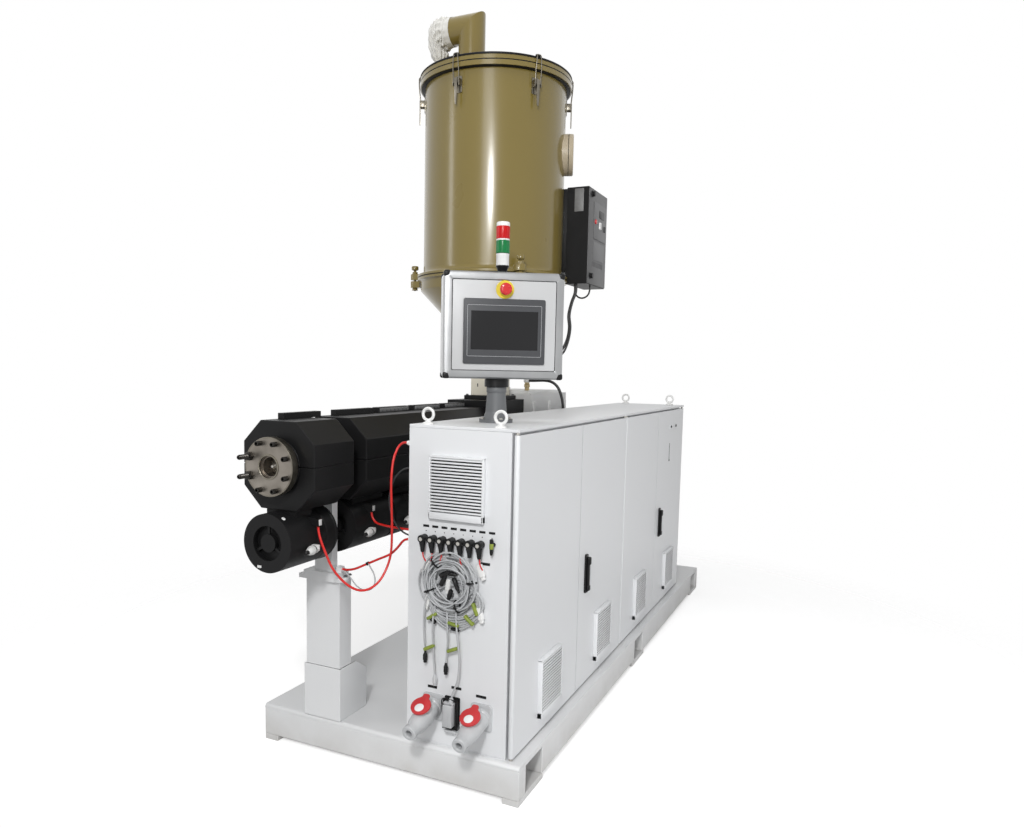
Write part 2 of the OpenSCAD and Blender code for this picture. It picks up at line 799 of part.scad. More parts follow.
// A blower drum with an inlet in its front, its duct up to the cover and a gland for its lead
module blower(y0, y1, duct_y0, gland_y) {
    duct = drum_r * 1.2;
    sunk = 22;
    hub_r = inlet_d * 0.26;
    difference() {
        bar_y(-axis_x, drum_z, y0, y1, drum_r);
        bar_y(-axis_x, drum_z, y0 - 1, y0 + sunk, inlet_d / 2);
    }
    bar_y(-axis_x, drum_z, y0 + 4, y0 + sunk + 1, hub_r);
    for (a = [30, 150, 270]) translate([-axis_x, y0 + 8, drum_z]) rotate([0, a, 0])
        translate([0, 0, -4]) cube([inlet_d / 2 + 1, 6, 8]);
    block([-axis_x - duct / 2, duct_y0, drum_z + drum_r * 0.7], [-axis_x + duct / 2, y1 - 30, axis_z - cover_w / 2]);
    block([-axis_x + drum_r * 0.7, gland_y - gland_out, drum_z + gland_up],
          [gland_x + gland_out, gland_y + gland_out, drum_z + gland_up + gland_h]);
}

module blowers() {
    color(black) {
        blower(drum_y0, drum_y0 + front_drum_l, cover_y0 + 10, drum_y0 + 124);
        for (i = [0:zones - 1]) {
            y0 = cover_y2 + i * zone_l + 6;
            blower(y0, y0 + zone_l - drum_gap, y0 + 30, y0 + 87);
        }
    }
}

// Cooled feed throat behind the covers
module feed_throat() {
    color(black) difference() {
        block([-axis_x - throat_w / 2, throat_y0, axis_z - 120], [-axis_x + throat_w / 2, gear_y0, plate_z]);
        bar_y(-axis_x, axis_z, throat_y0 - 1, gear_y0 + 1, bore_r);
        translate([hop_x, hop_y, axis_z]) cylinder(h = throat_h + 1, r = bore_r);
    }
}

// A square plate with a round hole on the hopper's axis
module square_ring(w, z0, z1, r) {
    difference() {
        block([hop_x - w / 2, hop_y - w / 2, z0], [hop_x + w / 2, hop_y + w / 2, z1]);
        translate([hop_x, hop_y, z0 - 1]) cylinder(h = z1 - z0 + 2, r = r);
    }
}

module throat_plate() {
    color(black) square_ring(plate_w, plate_z, gate_z, bore_r);
}

module gate_box() {
    color([0.78, 0.72, 0.6]) square_ring(gate_w, gate_z, neck_z, bore_r + 8);
}

// Neck between the gate box and the cone
module hopper_neck() {
    color(olive) translate([hop_x, hop_y, neck_z]) difference() {
        cylinder(h = neck_h, r = neck_r);
        translate([0, 0, -1]) cylinder(h = neck_h + 2, r = neck_r - neck_wall);
    }
}

// Discharge cone with its joint flange and a stub for the heat probe
module hopper_cone() {
    slope = (hopper_r - neck_r) / (joint_z - rim_t - cone_z);
    probe_r = neck_r + slope * (probe_z - cone_z);
    color(olive) {
        translate([hop_x, hop_y, 0]) rotate_extrude()
            polygon([[neck_r - neck_wall, cone_z], [neck_r, cone_z], [hopper_r, joint_z - rim_t],
                     [rim_r, joint_z - rim_t], [rim_r, joint_z], [shell_r, joint_z]]);
        translate([hop_x, hop_y, probe_z]) rotate([0, 0, probe_turn]) translate([probe_r, 0, 0])
            rotate([0, 90 + atan(slope), 0]) translate([0, 0, -6]) cylinder(h = probe_l + 6, r = 10);
    }
}

// Insulated shell of the dryer
module hopper_shell() {
    color(olive) translate([hop_x, hop_y, 0]) rotate_extrude()
        polygon([[shell_r, joint_z], [rim_r, joint_z], [rim_r, joint_z + rim_t], [hopper_r, joint_z + rim_t],
                 [hopper_r, lid_z], [shell_r, lid_z]]);
}

// Lid with a double rim
module hopper_lid() {
    step = lid_t / 5;
    color(olive) difference() {
        translate([hop_x, hop_y, lid_z]) rotate_extrude()
            polygon([[0, 0], [lid_r, 0], [lid_r, 2 * step], [lid_r - 5, 2 * step], [lid_r - 5, 2.5 * step],
                     [lid_r, 2.5 * step], [lid_r, 4.5 * step], [lid_r - 5, lid_t], [0, lid_t]]);
        translate([pipe_x, pipe_y, lid_z - 1]) cylinder(h = lid_t + 2, r = pipe_r - pipe_t);
    }
}

// Places its children round the hopper's axis
module round_hopper(n, start) {
    for (i = [0:n - 1]) translate([hop_x, hop_y, 0]) rotate([0, 0, start + i * 360 / n]) children();
}

// Toggle latches with wire loops that hold the lid
module lid_clamps() {
    w = 34;
    wire = 3;
    drop = 104;
    plate_h = 76;
    plate = 6;
    loop_x = lid_r + wire + 1;
    top = lid_z + lid_t + wire;
    color(steel) round_hopper(6, 26) {
        translate([hopper_r + fit, -w / 2, lid_z - drop]) cube([plate, w, plate_h]);
        translate([hopper_r + plate, -w / 3, lid_z - drop + 8]) cube([loop_x - hopper_r, 2 * w / 3, plate_h * 0.6]);
        for (s = [-1, 1]) translate([loop_x, s * w / 3, lid_z - drop + 30]) cylinder(h = top - lid_z + drop - 30, r = wire);
        translate([loop_x, -w / 3 - wire, top]) rotate([-90, 0, 0]) cylinder(h = 2 * w / 3 + 2 * wire, r = wire);
        translate([lid_r - 26, -w / 4, lid_z + lid_t]) cube([loop_x - lid_r + 26, w / 2, 2 * wire]);
    }
}

// Clamps at the joint: a lug on each flange, a bolt through both and a round knob
module joint_clamps() {
    knob_r = 17;
    knob_h = 22;
    nut_h = 14;
    slit = 3;
    color(olive) round_hopper(3, 73.5) difference() {
        union() {
            for (z = [joint_z - lug_h, joint_z + slit])
                translate([rim_r - 12, -lug_w / 2, z]) cube([lug_l + 12, lug_w, lug_h - slit]);
            translate([rim_r + lug_l * 0.6, 0, joint_z - lug_h - nut_h]) {
                cylinder(h = 2 * (lug_h + nut_h), r = bolt_r);
                cylinder(h = nut_h, r = 2 * bolt_r);
                translate([0, 0, 2 * (lug_h + nut_h)]) cylinder(h = knob_h, r = knob_r);
            }
        }
        translate([0, 0, joint_z - 2 * lug_h]) cylinder(h = 4 * lug_h, r = rim_r + fit);
    }
}

// Mitred exhaust pipe on the lid, over = how far its ends reach on
module mitre_pipe(r, over) {
    low = -bend_h - over;
    out = -branch_l - over;
    far = r + 1;
    intersection() {
        translate([pipe_x, pipe_y, bend_z + low]) cylinder(h = far - low, r = r);
        translate([pipe_x, pipe_y + far, bend_z]) rotate([90, 0, 0]) linear_extrude(2 * far)
            polygon([[-far, low], [far, low], [far, far], [-far, -far]]);
    }
    intersection() {
        bar_x(pipe_y, bend_z, pipe_x + out, pipe_x + far, r);
        translate([pipe_x, pipe_y + far, bend_z]) rotate([90, 0, 0]) linear_extrude(2 * far)
            polygon([[out, -far], [-far, -far], [far, far], [out, far]]);
    }
}

module exhaust_elbow() {
    color(olive) difference() {
        mitre_pipe(pipe_r, 0);
        mitre_pipe(pipe_r - pipe_t, 1);
    }
}

// Filter bag tied over the end of the branch
module filter_cloth() {
    bag_l = 75;
    hang = 185;
    x = pipe_x - branch_l;
    color("white") {
        bar_x(pipe_y, bend_z, x - bag_l, x, pipe_r + 8);
        translate([x - bag_l / 2, pipe_y, bend_z - hang]) cylinder(h = hang, r = bag_l / 2);
    }
}

// Heater and fan box on the hopper's side, with a duct into the shell
module heater_box() {
    duct = 60;
    x1 = heater_x0 + heater_d;
    z1 = heater_z0 + heater_h;
    color(black) difference() {
        union() {
            block([heater_x0, heater_y0, heater_z0], [x1, heater_y0 + heater_w, z1]);
            block([hop_x + hopper_r / 2, heater_y0 + duct / 2, joint_z + duct],
                  [heater_x0 + 1, heater_y0 + heater_w - duct, z1 - duct]);
        }
        translate([hop_x, hop_y, heater_z0 - 1]) cylinder(h = heater_h + 2, r = hopper_r + fit);
    }
}

// Round inspection port in the shell
module inspection_port() {
    x1 = hopper_r + port_l;
    sunk = 12;
    color(grey) translate([hop_x, hop_y, joint_z + port_z]) rotate([0, 0, 20]) difference() {
        bar_x(0, 0, hopper_r - 40, x1, port_d / 2);
        translate([0, 0, -port_d]) cylinder(h = 2 * port_d, r = hopper_r);
        bar_x(0, 0, x1 - sunk, x1 + 1, port_d / 2 - 25);
    }
}

// Gearbox casting behind the feed throat, with ribs, a cover, a cap and the breather
module gearbox() {
    rib = 12;
    cover_t = 14;
    inset = 40;
    top = gear_z0 + gear_h;
    color(white) {
        block([-axis_x - gear_w / 2 + rib, gear_y0, gear_z0], [-axis_x + gear_w / 2 - rib, gear_y0 + gear_l, top]);
        for (y = [gear_y0 + inset, gear_y0 + gear_l / 2, gear_y0 + gear_l - inset])
            block([-axis_x - gear_w / 2, y - rib, gear_z0], [-axis_x + gear_w / 2, y + rib, top - inset]);
        block([-axis_x - gear_w / 2 + inset, gear_y0 + inset, top],
              [-axis_x + gear_w / 2 - inset, gear_y0 + gear_l - inset, top + cover_t]);
        translate([-axis_x - 40, gear_y0 + 90, top + cover_t]) cylinder(h = cover_t, r = 42);
        translate([hose_x, hose_y, top]) cylinder(h = hose_z - top, r = 11);
        bar_x(hose_y, hose_z, hose_x - 14, hose_x + hose_stub, hose_d / 2 + 4);
        bar_x(hose_y, hose_low, -axis_x, -axis_x + gear_w / 2 + hose_stub, hose_d / 2 + 4);
        bar_y(-axis_x, motor_z, gear_y0 + gear_l, motor_y0, 60);
    }
}

module gearbox_stand() {
    color(white) block([-axis_x - gear_w / 2 + 20, gear_y0 + 30, base_h],
                       [-axis_x + gear_w / 2 - 20, gear_y0 + gear_l - 30, gear_z0]);
}

// Drive motor behind the gearbox, with cooling fins, a fan cowl and feet
module drive_motor() {
    fins = 24;
    fin_h = 16;
    cowl = 90;
    r = motor_d / 2;
    color(grey) {
        translate([-axis_x, motor_y0 + motor_l, motor_z]) rotate([90, 0, 0]) linear_extrude(motor_l) {
            circle(r - fin_h);
            for (i = [0:fins - 1]) rotate(i * 360 / fins) translate([0, -3]) square([r, 6]);
        }
        bar_y(-axis_x, motor_z, motor_y0 + motor_l, motor_y0 + motor_l + cowl, r - 6);
        block([-axis_x - motor_half, motor_y0 + 60, motor_z - r - motor_foot],
              [-axis_x + motor_half, motor_y0 + motor_l - 60, motor_z - 0.6 * r]);
    }
}

module motor_stand() {
    color(white) block([-axis_x - motor_half - 10, motor_y0 + 40, base_h],
                       [-axis_x + motor_half + 10, motor_y0 + motor_l - 40, motor_z - motor_d / 2 - motor_foot]);
}

// Places its children in the frame of an inlet's open lid, with the lid's lower face on z = 0
module on_lid(x) {
    translate([x, cab_y0 - 82, cab_z0 + inlet_z + 29]) rotate([lid_tilt, 0, 0]) children();
}

// Power inlets on the front panel, each with a connector in it and a bracket for its lid
module power_inlets() {
    plate = 8;
    straight = 0.58 * inlet_l;
    taper = 0.25 * inlet_l;
    color(grey) for (x = inlet_xs) {
        translate([x, cab_y0, cab_z0 + inlet_z]) difference() {
            union() {
                translate([-37, -plate, -43]) cube([74, plate, 86]);
                translate([0, -plate, 0]) rotate([90 + inlet_tilt, 0, 0]) {
                    cylinder(h = straight, r = inlet_r);
                    translate([0, 0, straight]) cylinder(h = taper, r1 = inlet_r, r2 = nozzle_r);
                    cylinder(h = inlet_l - plate, r = nozzle_r);
                }
            }
            translate([0, -plate, 0]) rotate([90 + inlet_tilt, 0, 0])
                translate([0, 0, inlet_l - plate - 24]) cylinder(h = 25, r = nozzle_r / 2);
        }
        on_lid(x) translate([-11, lid_disc_r, -32]) cube([22, 14, 32]);
    }
}

// Open lids of the power inlets, each with its hinge tab
module inlet_lids() {
    color("red") for (x = inlet_xs) on_lid(x) {
        cylinder(h = lid_disc_t, r = lid_disc_r);
        translate([-11, 0, 0]) cube([22, lid_disc_r + 14, lid_disc_t]);
    }
}

// Angled plugs in a row, the earth plug, the hooded connector and the glands of the red leads
module panel_plugs() {
    collar = 12;
    hood_x = panel_x + 143;
    hood_w = 55;
    hood_z = cab_z0 + 65;
    color(black) {
        for (i = [0:plug_n - 1]) translate([plug_x + i * plug_pitch, cab_y0, cab_z0 + plug_z]) {
            bar_y(0, 0, -collar, 0, 12);
            translate([0, -collar + 5, 0]) rotate([125, 0, 0]) cylinder(h = 40, r = 9);
            translate([0, -collar + 5, 0]) rotate([125, 0, 0]) cylinder(h = 56, r = 5);
        }
        bar_y(panel_x + 305, cab_z0 + plug_z + 4, cab_y0 - 30, cab_y0, 10);
        block([hood_x, cab_y0 - 14, hood_z], [hood_x + hood_w, cab_y0, hood_z + 105]);
        block([hood_x + 5, cab_y0 - 40, hood_z + 12], [hood_x + hood_w - 5, cab_y0 - 14, hood_z + 93]);
        for (r = [red_1, red_2, red_3]) {
            p = r[len(r) - 1];
            bar_x(p[1], p[2], cab_x0 - lead_gland, cab_x0, red_d);
        }
    }
}

// Coiled cable tied to the front panel
module cable_coil() {
    color(grey) translate([coil_x, cab_y0 - coil_t / 2, coil_z]) rotate([90, 0, 0])
        rotate_extrude() translate([coil_r, 0]) circle(coil_t / 2);
}

// Red leads of the blowers and of the post's sensor
module red_leads() {
    color("red") for (r = [red_1, red_2, red_3]) lead(r, red_d);
}

// Grey leads that hang out of the coil, three of them with plugs
module grey_leads() {
    color(grey) {
        for (r = [grey_1, grey_2, grey_3, grey_4]) lead(r, grey_d);
        for (p = plug_ends) translate(p) translate([0, 0, -34]) cylinder(h = 34, r = 8);
    }
}

// Breather hose of the gearbox and the dryer's probe lead
module black_leads() {
    color(black) {
        lead(hose, hose_d, 10);
        lead(dryer_lead, dryer_d);
        lead(dryer_loop, loop_d);
    }
}

base_deck();
base_beams();
foot_plates();
cabinet_floor();
cabinet_roof();
cabinet_front_panel();
cabinet_rear_panel();
cabinet_back_panel();
cabinet_posts();
front_vent();
lifting_eyes();
door_pivots();
door(1);  // door_1
door(2);  // door_2
door(3);  // door_3
door(4);  // door_4
door_vent(1);  // vent_1
door_vent(2);  // vent_2
door_vent(3);  // vent_3
door_vent(4);  // vent_4
swing_handle(2);  // handle_1
swing_handle(4);  // handle_2
hmi_pedestal();
hmi_box();
hmi_screen();
emergency_stop();
tower_light();
barrel_post();
post_head();
barrel();
flange_studs();
screw();
covers_upper();
covers_lower();
terminal_covers();
blowers();
feed_throat();
throat_plate();
gate_box();
hopper_neck();
hopper_cone();
hopper_shell();
hopper_lid();
lid_clamps();
joint_clamps();
exhaust_elbow();
filter_cloth();
heater_box();
inspection_port();
gearbox();
gearbox_stand();
drive_motor();
motor_stand();
power_inlets();
inlet_lids();
panel_plugs();
cable_coil();
red_leads();
grey_leads();
black_leads();
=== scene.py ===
# %% [markdown]
# # Dressing a single screw extruder
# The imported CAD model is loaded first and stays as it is: it is the frame that everything hangs on.
# Blender adds what CAD leaves plain: finishes, small fittings, leads, cloth and light.
# Every length is in metres, in the CAD model's own frame: X to the cabinet's doors, Y back from the die, Z up.

# %% Load the frame
import math
import bpy
import bmesh
from mathutils import Matrix, Vector


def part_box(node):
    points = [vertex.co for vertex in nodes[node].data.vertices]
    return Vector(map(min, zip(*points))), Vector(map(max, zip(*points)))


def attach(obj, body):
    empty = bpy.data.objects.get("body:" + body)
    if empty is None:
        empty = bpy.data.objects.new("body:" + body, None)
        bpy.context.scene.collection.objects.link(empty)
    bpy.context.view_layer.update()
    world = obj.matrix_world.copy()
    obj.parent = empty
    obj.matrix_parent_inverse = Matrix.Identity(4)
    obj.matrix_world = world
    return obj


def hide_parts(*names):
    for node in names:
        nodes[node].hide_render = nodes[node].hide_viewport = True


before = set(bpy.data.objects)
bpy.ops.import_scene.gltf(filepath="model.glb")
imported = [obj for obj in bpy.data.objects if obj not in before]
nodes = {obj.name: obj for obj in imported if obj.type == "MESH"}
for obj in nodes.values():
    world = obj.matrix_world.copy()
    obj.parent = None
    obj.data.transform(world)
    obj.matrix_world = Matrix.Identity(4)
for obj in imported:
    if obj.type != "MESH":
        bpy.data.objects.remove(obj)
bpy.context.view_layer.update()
scene = bpy.context.scene
scene.view_settings.view_transform = "Standard"

# %% [markdown]
# ## The camera
# The photograph was taken from the front corner, a little above the operator panel, with a short lens.
# Its place was solved from the straight edges of the skid and the cabinet, so the camera is set from
# three direction vectors. The picture is taken to be 1024 by 827.

# %% Camera
right = Vector((.9016, .4322, .0189)).normalized()
forward = Vector((-.4288, .8985, -.0938)).normalized()
up = right.cross(forward).normalized()
cam_data = bpy.data.cameras.new("camera")
cam_data.sensor_fit = "HORIZONTAL"
cam_data.sensor_width = 36.0
cam_data.lens = 27.54
cam_data.shift_x = .0237
cam_data.shift_y = .0303
cam_data.clip_end = 100.0
camera = bpy.data.objects.new("camera", cam_data)
scene.collection.objects.link(camera)
turn = Matrix((right, up, -forward)).transposed().to_4x4()
camera.matrix_world = Matrix.Translation((1.3862, -3.5455, 1.3422)) @ turn
scene.camera = camera
print("camera at", [round(c, 3) for c in camera.location])

# %% [markdown]
# ## Helpers that place a shape
# Most shapes are built round the origin and then moved by a matrix. Short names for the four usual matrices let a place
# be read from left to right, from the machine's frame down to the shape.

# %% Placing helpers
def shift(x=0.0, y=0.0, z=0.0):
    return Matrix.Translation((x, y, z))


def spin_x(deg):
    return Matrix.Rotation(math.radians(deg), 4, "X")


def spin_y(deg):
    return Matrix.Rotation(math.radians(deg), 4, "Y")


def spin_z(deg):
    return Matrix.Rotation(math.radians(deg), 4, "Z")


print("placing helpers ready")

# %% [markdown]
# ## Helpers that add a shape
# A piece is collected in one bmesh: boxes with bevelled edges, shapes of revolution and prisms. Operators do the work,
# because they keep the mesh closed. `settle` welds a new shape, turns its faces outwards and moves it into place.

# %% Shape helpers
def added(bm, before):
    return [v for v in bm.verts if v not in before]


def touching(verts, kind):
    return list(dict.fromkeys(part for v in verts for part in getattr(v, kind)))


def settle(bm, before, place):
    bmesh.ops.remove_doubles(bm, verts=added(bm, before), dist=1e-6)
    verts = added(bm, before)
    bmesh.ops.recalc_face_normals(bm, faces=touching(verts, "link_faces"))
    bmesh.ops.transform(bm, matrix=place, verts=verts)
    return verts


def bevel_edges(bm, edges, offset, segments=2):
    bmesh.ops.bevel(bm, geom=edges, offset=offset, offset_type="OFFSET", segments=segments, profile=.5,
                    affect="EDGES", material=-1, clamp_overlap=True)


def add_box(bm, low, high, edge=0.0, place=Matrix(), segments=2):
    before = set(bm.verts)
    size = [h - l for l, h in zip(low, high)]
    mid = [(h + l) / 2 for l, h in zip(low, high)]
    bmesh.ops.create_cube(bm, size=1.0, matrix=Matrix.Translation(mid) @ Matrix.Diagonal((*size, 1.0)))
    if edge > 0:
        bevel_edges(bm, touching(added(bm, before), "link_edges"), edge, segments)
    return settle(bm, before, place)


def add_lathe(bm, profile, place=Matrix(), steps=40, loop=False):
    before = set(bm.verts)
    ring = [bm.verts.new((r, 0.0, z)) for r, z in profile]
    pairs = list(zip(ring, ring[1:])) + ([(ring[-1], ring[0])] if loop else [])
    lines = [bm.edges.new(pair) for pair in pairs]
    bmesh.ops.spin(bm, geom=ring + lines, cent=(0, 0, 0), axis=(0, 0, 1), angle=2 * math.pi, steps=steps,
                   use_merge=True)
    return settle(bm, before, place)


def add_prism(bm, outline, z0, z1, place=Matrix(), edge=0.0):
    before = set(bm.verts)
    face = bm.faces.new([bm.verts.new((x, y, z0)) for x, y in outline])
    top = bmesh.ops.extrude_face_region(bm, geom=[face])
    moved = [v for v in top["geom"] if isinstance(v, bmesh.types.BMVert)]
    bmesh.ops.translate(bm, vec=(0, 0, z1 - z0), verts=moved)
    if edge > 0:
        edges = touching(added(bm, before), "link_edges")
        bevel_edges(bm, [e for e in edges if all(abs(v.co.z - z1) < 1e-7 for v in e.verts)], edge)
    return settle(bm, before, place)


def add_rod(bm, a, b, r, steps=16):
    a, b = Vector(a), Vector(b)
    length = (b - a).length
    place = Matrix.Translation(a) @ (b - a).to_track_quat("Z", "Y").to_matrix().to_4x4()
    c = .15 * r
    return add_lathe(bm, [(0, 0), (r - c, 0), (r, c), (r, length - c), (r - c, length), (0, length)], place, steps)


print("shape helpers ready")

# %% [markdown]
# ## From bmesh to piece
# `make_piece` turns a bmesh into an object at the origin and marks its sharp edges, so that round sides look smooth and
# corners stay crisp. It also says which body the piece rides on, which slot it has and which CAD node it replaces.

# %% Piece helper
def make_piece(name, bm, material, instead_of=(), body="machine", smooth=35.0):
    for face in bm.faces:
        face.smooth = True
    for edge in bm.edges:
        edge.smooth = len(edge.link_faces) == 2 and edge.calc_face_angle(0.0) < math.radians(smooth)
    mesh = bpy.data.meshes.new(name)
    bm.to_mesh(mesh)
    bm.free()
    mesh.materials.append(material)
    obj = bpy.data.objects.new(name, mesh)
    scene.collection.objects.link(obj)
    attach(obj, body)
    if instead_of:
        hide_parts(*instead_of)
    print(name, "on", body, "with", len(mesh.polygons), "faces")
    return obj


print("piece helper ready")

# %% [markdown]
# ## Helpers for shader nodes
# Linking nodes one by one takes many lines. `feed` takes a dictionary of sockets instead: an output is linked, and
# anything else is set as the socket's value.

# %% Node helpers
def feed(tree, node, inputs):
    for key, value in inputs.items():
        if isinstance(value, bpy.types.NodeSocket):
            tree.links.new(value, node.inputs[key])
        else:
            node.inputs[key].default_value = value


def add_node(tree, kind, inputs=None, **settings):
    node = tree.nodes.new("ShaderNode" + kind)
    for key, value in settings.items():
        setattr(node, key, value)
    feed(tree, node, inputs or {})
    return node


def group(name, ins, outs):
    tree = bpy.data.node_groups.new(name, "ShaderNodeTree")
    for label, value in ins.items():
        sock = tree.interface.new_socket(label, in_out="INPUT", socket_type="NodeSocketFloat")
        sock.default_value = value
    for label in outs:
        tree.interface.new_socket(label, in_out="OUTPUT", socket_type="NodeSocketFloat")
    given, wanted = tree.nodes.new("NodeGroupInput").outputs, tree.nodes.new("NodeGroupOutput")
    return tree, given, wanted, add_node(tree, "TexCoord").outputs["Object"]


def add_noise(tree, vector, scale, detail):
    return add_node(tree, "TexNoise", {"Vector": vector, "Scale": scale, "Detail": detail}).outputs["Fac"]


print("node helpers ready")

# %% [markdown]
# ## Shared surface effects
# Paint, plastic and metal all need the same things: fine grain, slow blotches, brush lines and, near the floor, dust.
# Each effect is a node group that reads the piece's own Object coordinates, so it stays put in every view.

# %% Node groups
tree, given, wanted, coords = group("surface_grain", {"Fine Scale": 600.0, "Blotch Scale": 3.0}, ["Fine", "Blotch"])
feed(tree, wanted, {"Fine": add_noise(tree, coords, given["Fine Scale"], 2.0),
                    "Blotch": add_noise(tree, coords, given["Blotch Scale"], 4.0)})

STRETCH = ("Stretch X", "Stretch Y", "Stretch Z")
tree, given, wanted, coords = group("brush_lines", {"Scale": 40.0, **dict.fromkeys(STRETCH, 1.0)}, ["Lines"])
stretch = add_node(tree, "CombineXYZ", {key[-1]: given[key] for key in STRETCH})
drawn = add_node(tree, "VectorMath", {0: coords, 1: stretch.outputs[0]}, operation="MULTIPLY")
feed(tree, wanted, {"Lines": add_noise(tree, drawn.outputs[0], given["Scale"], 4.0)})

tree, given, wanted, coords = group("floor_dust", {"Height": .3, "Scale": 9.0}, ["Dust"])
height = add_node(tree, "SeparateXYZ", {0: coords}).outputs["Z"]
share = add_node(tree, "Math", {0: height, 1: given["Height"]}, operation="DIVIDE")
fade = add_node(tree, "MapRange", {"Value": share.outputs[0], "To Min": 1.0, "To Max": 0.0})
spots = add_node(tree, "Math", {0: fade.outputs[0], 1: add_noise(tree, coords, given["Scale"], 5.0)},
                 operation="MULTIPLY")
feed(tree, wanted, {"Dust": spots.outputs[0]})
print("groups:", [g.name for g in bpy.data.node_groups])

# %% [markdown]
# ## The recipe of a finish
# One recipe covers most of the machine: two near colours mixed by blotches, roughness that wanders between two
# values, and a fine bump. Numbers that are the same all over sit on the shader's own sockets.

# %% Finish recipe
DUST = (.42, .4, .37, 1.0)
GRAIN_DEPTH, LINE_DEPTH = .0006, .0004


def finish(name, dark, light, rough, fine, blotch, bump, metallic=0.0, coat=0.0, coat_rough=.1, spec=.5, dusty=0.0,
           lines=None, line_bump=0.0):
    mat = bpy.data.materials.new(name)
    mat.use_nodes = True
    tree = mat.node_tree

    def use(label, inputs):
        return add_node(tree, "Group", inputs, node_tree=bpy.data.node_groups[label]).outputs

    def mix(factor, a, b):
        return add_node(tree, "Mix", {"A": a, "B": b, "Factor": factor}, data_type="RGBA").outputs["Result"]

    skin = use("surface_grain", {"Fine Scale": fine, "Blotch Scale": blotch})
    colour = mix(skin["Blotch"], (*dark, 1.0), (*light, 1.0))
    if dusty:
        colour = mix(use("floor_dust", {"Height": dusty})["Dust"], colour, DUST)
    wander = add_node(tree, "MapRange", {"Value": skin["Blotch"], "To Min": rough[0], "To Max": rough[1]})
    normal = add_node(tree, "Bump", {"Strength": bump, "Distance": GRAIN_DEPTH, "Height": skin["Fine"]}).outputs[0]
    if lines:
        strokes = use("brush_lines", dict(zip(("Scale",) + STRETCH, lines)))["Lines"]
        normal = add_node(tree, "Bump", {"Strength": line_bump, "Distance": LINE_DEPTH, "Height": strokes,
                                         "Normal": normal}).outputs[0]
    feed(tree, tree.nodes["Principled BSDF"], {
        "Base Color": colour, "Roughness": wander.outputs[0], "Normal": normal, "Metallic": metallic,
        "Specular IOR Level": spec, "Coat Weight": coat, "Coat Roughness": coat_rough})
    return mat


print("recipe ready")

# %% [markdown]
# ## Paints
# The cabinet and the skid are powder coated, castings are rougher, and the hopper's lacquer has a clear coat that gives
# it its stripes of light. Each paint has two near colours, so that large plates don't look like flat fills.

# %% Paints
cabinet_paint = finish("cabinet_paint", (.7, .71, .73), (.75, .76, .77), (.34, .44), 900, 1.4, .1)
skid_paint = finish("skid_paint", (.68, .69, .7), (.75, .755, .76), (.4, .52), 700, 2.2, .12, dusty=.14)
casting_paint = finish("casting_paint", (.74, .745, .74), (.82, .82, .815), (.34, .5), 260, 5, .25)
cast_grey = finish("cast_grey", (.085, .09, .095), (.14, .145, .15), (.4, .55), 320, 7, .25)
black_satin = finish("black_satin", (.006, .006, .0062), (.011, .011, .0115), (.34, .5), 900, 5, .12, spec=.14)
olive_paint = finish("olive_paint", (.18, .134, .03), (.208, .156, .038), (.24, .32), 1600, 2.2, .05, coat=.7,
                     coat_rough=.17, spec=.2)
beige_paint = finish("beige_paint", (.62, .58, .48), (.7, .66, .56), (.38, .5), 600, 6, .12)
port_beige = finish("port_beige", (.4, .34, .24), (.47, .4, .29), (.34, .46), 500, 9, .1, spec=.4)
motor_blue_grey = finish("motor_blue_grey", (.1, .11, .12), (.15, .16, .17), (.42, .55), 260, 6, .2)
panel_grey = finish("panel_grey", (.485, .49, .495), (.525, .53, .535), (.36, .44), 1400, 8, .04)
print("paints:", len(bpy.data.materials))

# %% [markdown]
# ## Metals
# Bare metal shows on the die, the latches and the command box. Machined faces get brush lines, which a stretched noise
# draws without any picture.

# %% Metals
flange_steel = finish("flange_steel", (.14, .125, .105), (.33, .3, .265), (.28, .48), 500, 18, .08, metallic=1.0,
                      lines=(60, 1, .1, 1), line_bump=.15)
bright_steel = finish("bright_steel", (.4, .385, .355), (.54, .525, .49), (.22, .36), 700, 30, .05, metallic=1.0)
dull_steel = finish("dull_steel", (.135, .12, .092), (.27, .25, .21), (.26, .42), 700, 40, .08, metallic=1.0)
dark_steel = finish("dark_steel", (.02, .019, .018), (.055, .052, .048), (.28, .42), 700, 40, .08, metallic=1.0)
brushed_aluminium = finish("brushed_aluminium", (.31, .315, .32), (.41, .415, .42), (.24, .36), 900, 12, .03,
                           metallic=.9, lines=(90, 1, 1, .03), line_bump=.12)
brass = finish("brass", (.3, .235, .125), (.42, .335, .19), (.24, .36), 600, 30, .05, metallic=1.0)
print("paints and metals:", len(bpy.data.materials))

# %% [markdown]
# ## Plastics, rubber and glass
# Small fittings are moulded. Black plastic is a little lighter than pure black, so that its edges still show, and the
# lenses are dark because no lamp burns in them.

# %% Plastics, rubber and glass
black_plastic = finish("black_plastic", (.005, .005, .0055), (.009, .009, .0095), (.3, .42), 1500, 30, .1, spec=.22)
strip_grey = finish("strip_grey", (.11, .11, .11), (.2, .2, .2), (.34, .46), 700, 40, .08)
gland_white = finish("gland_white", (.56, .56, .55), (.66, .66, .65), (.3, .42), 900, 30, .06)
dark_bezel = finish("dark_bezel", (.05, .052, .056), (.062, .064, .069), (.38, .48), 1800, 20, .06, spec=.3)
screen_glass = finish("screen_glass", (.008, .008, .009), (.012, .012, .013), (.08, .14), 300, 4, 0.0, spec=.3)
gasket_rubber = finish("gasket_rubber", (.003, .003, .003), (.006, .006, .006), (.4, .55), 900, 20, .2, spec=.15)
red_gloss = finish("red_gloss", (.5, .006, .008), (.62, .012, .014), (.18, .28), 900, 20, .03, coat=.3)
red_lid = finish("red_lid", (.46, .022, .026), (.56, .035, .038), (.34, .44), 1200, 22, .08)
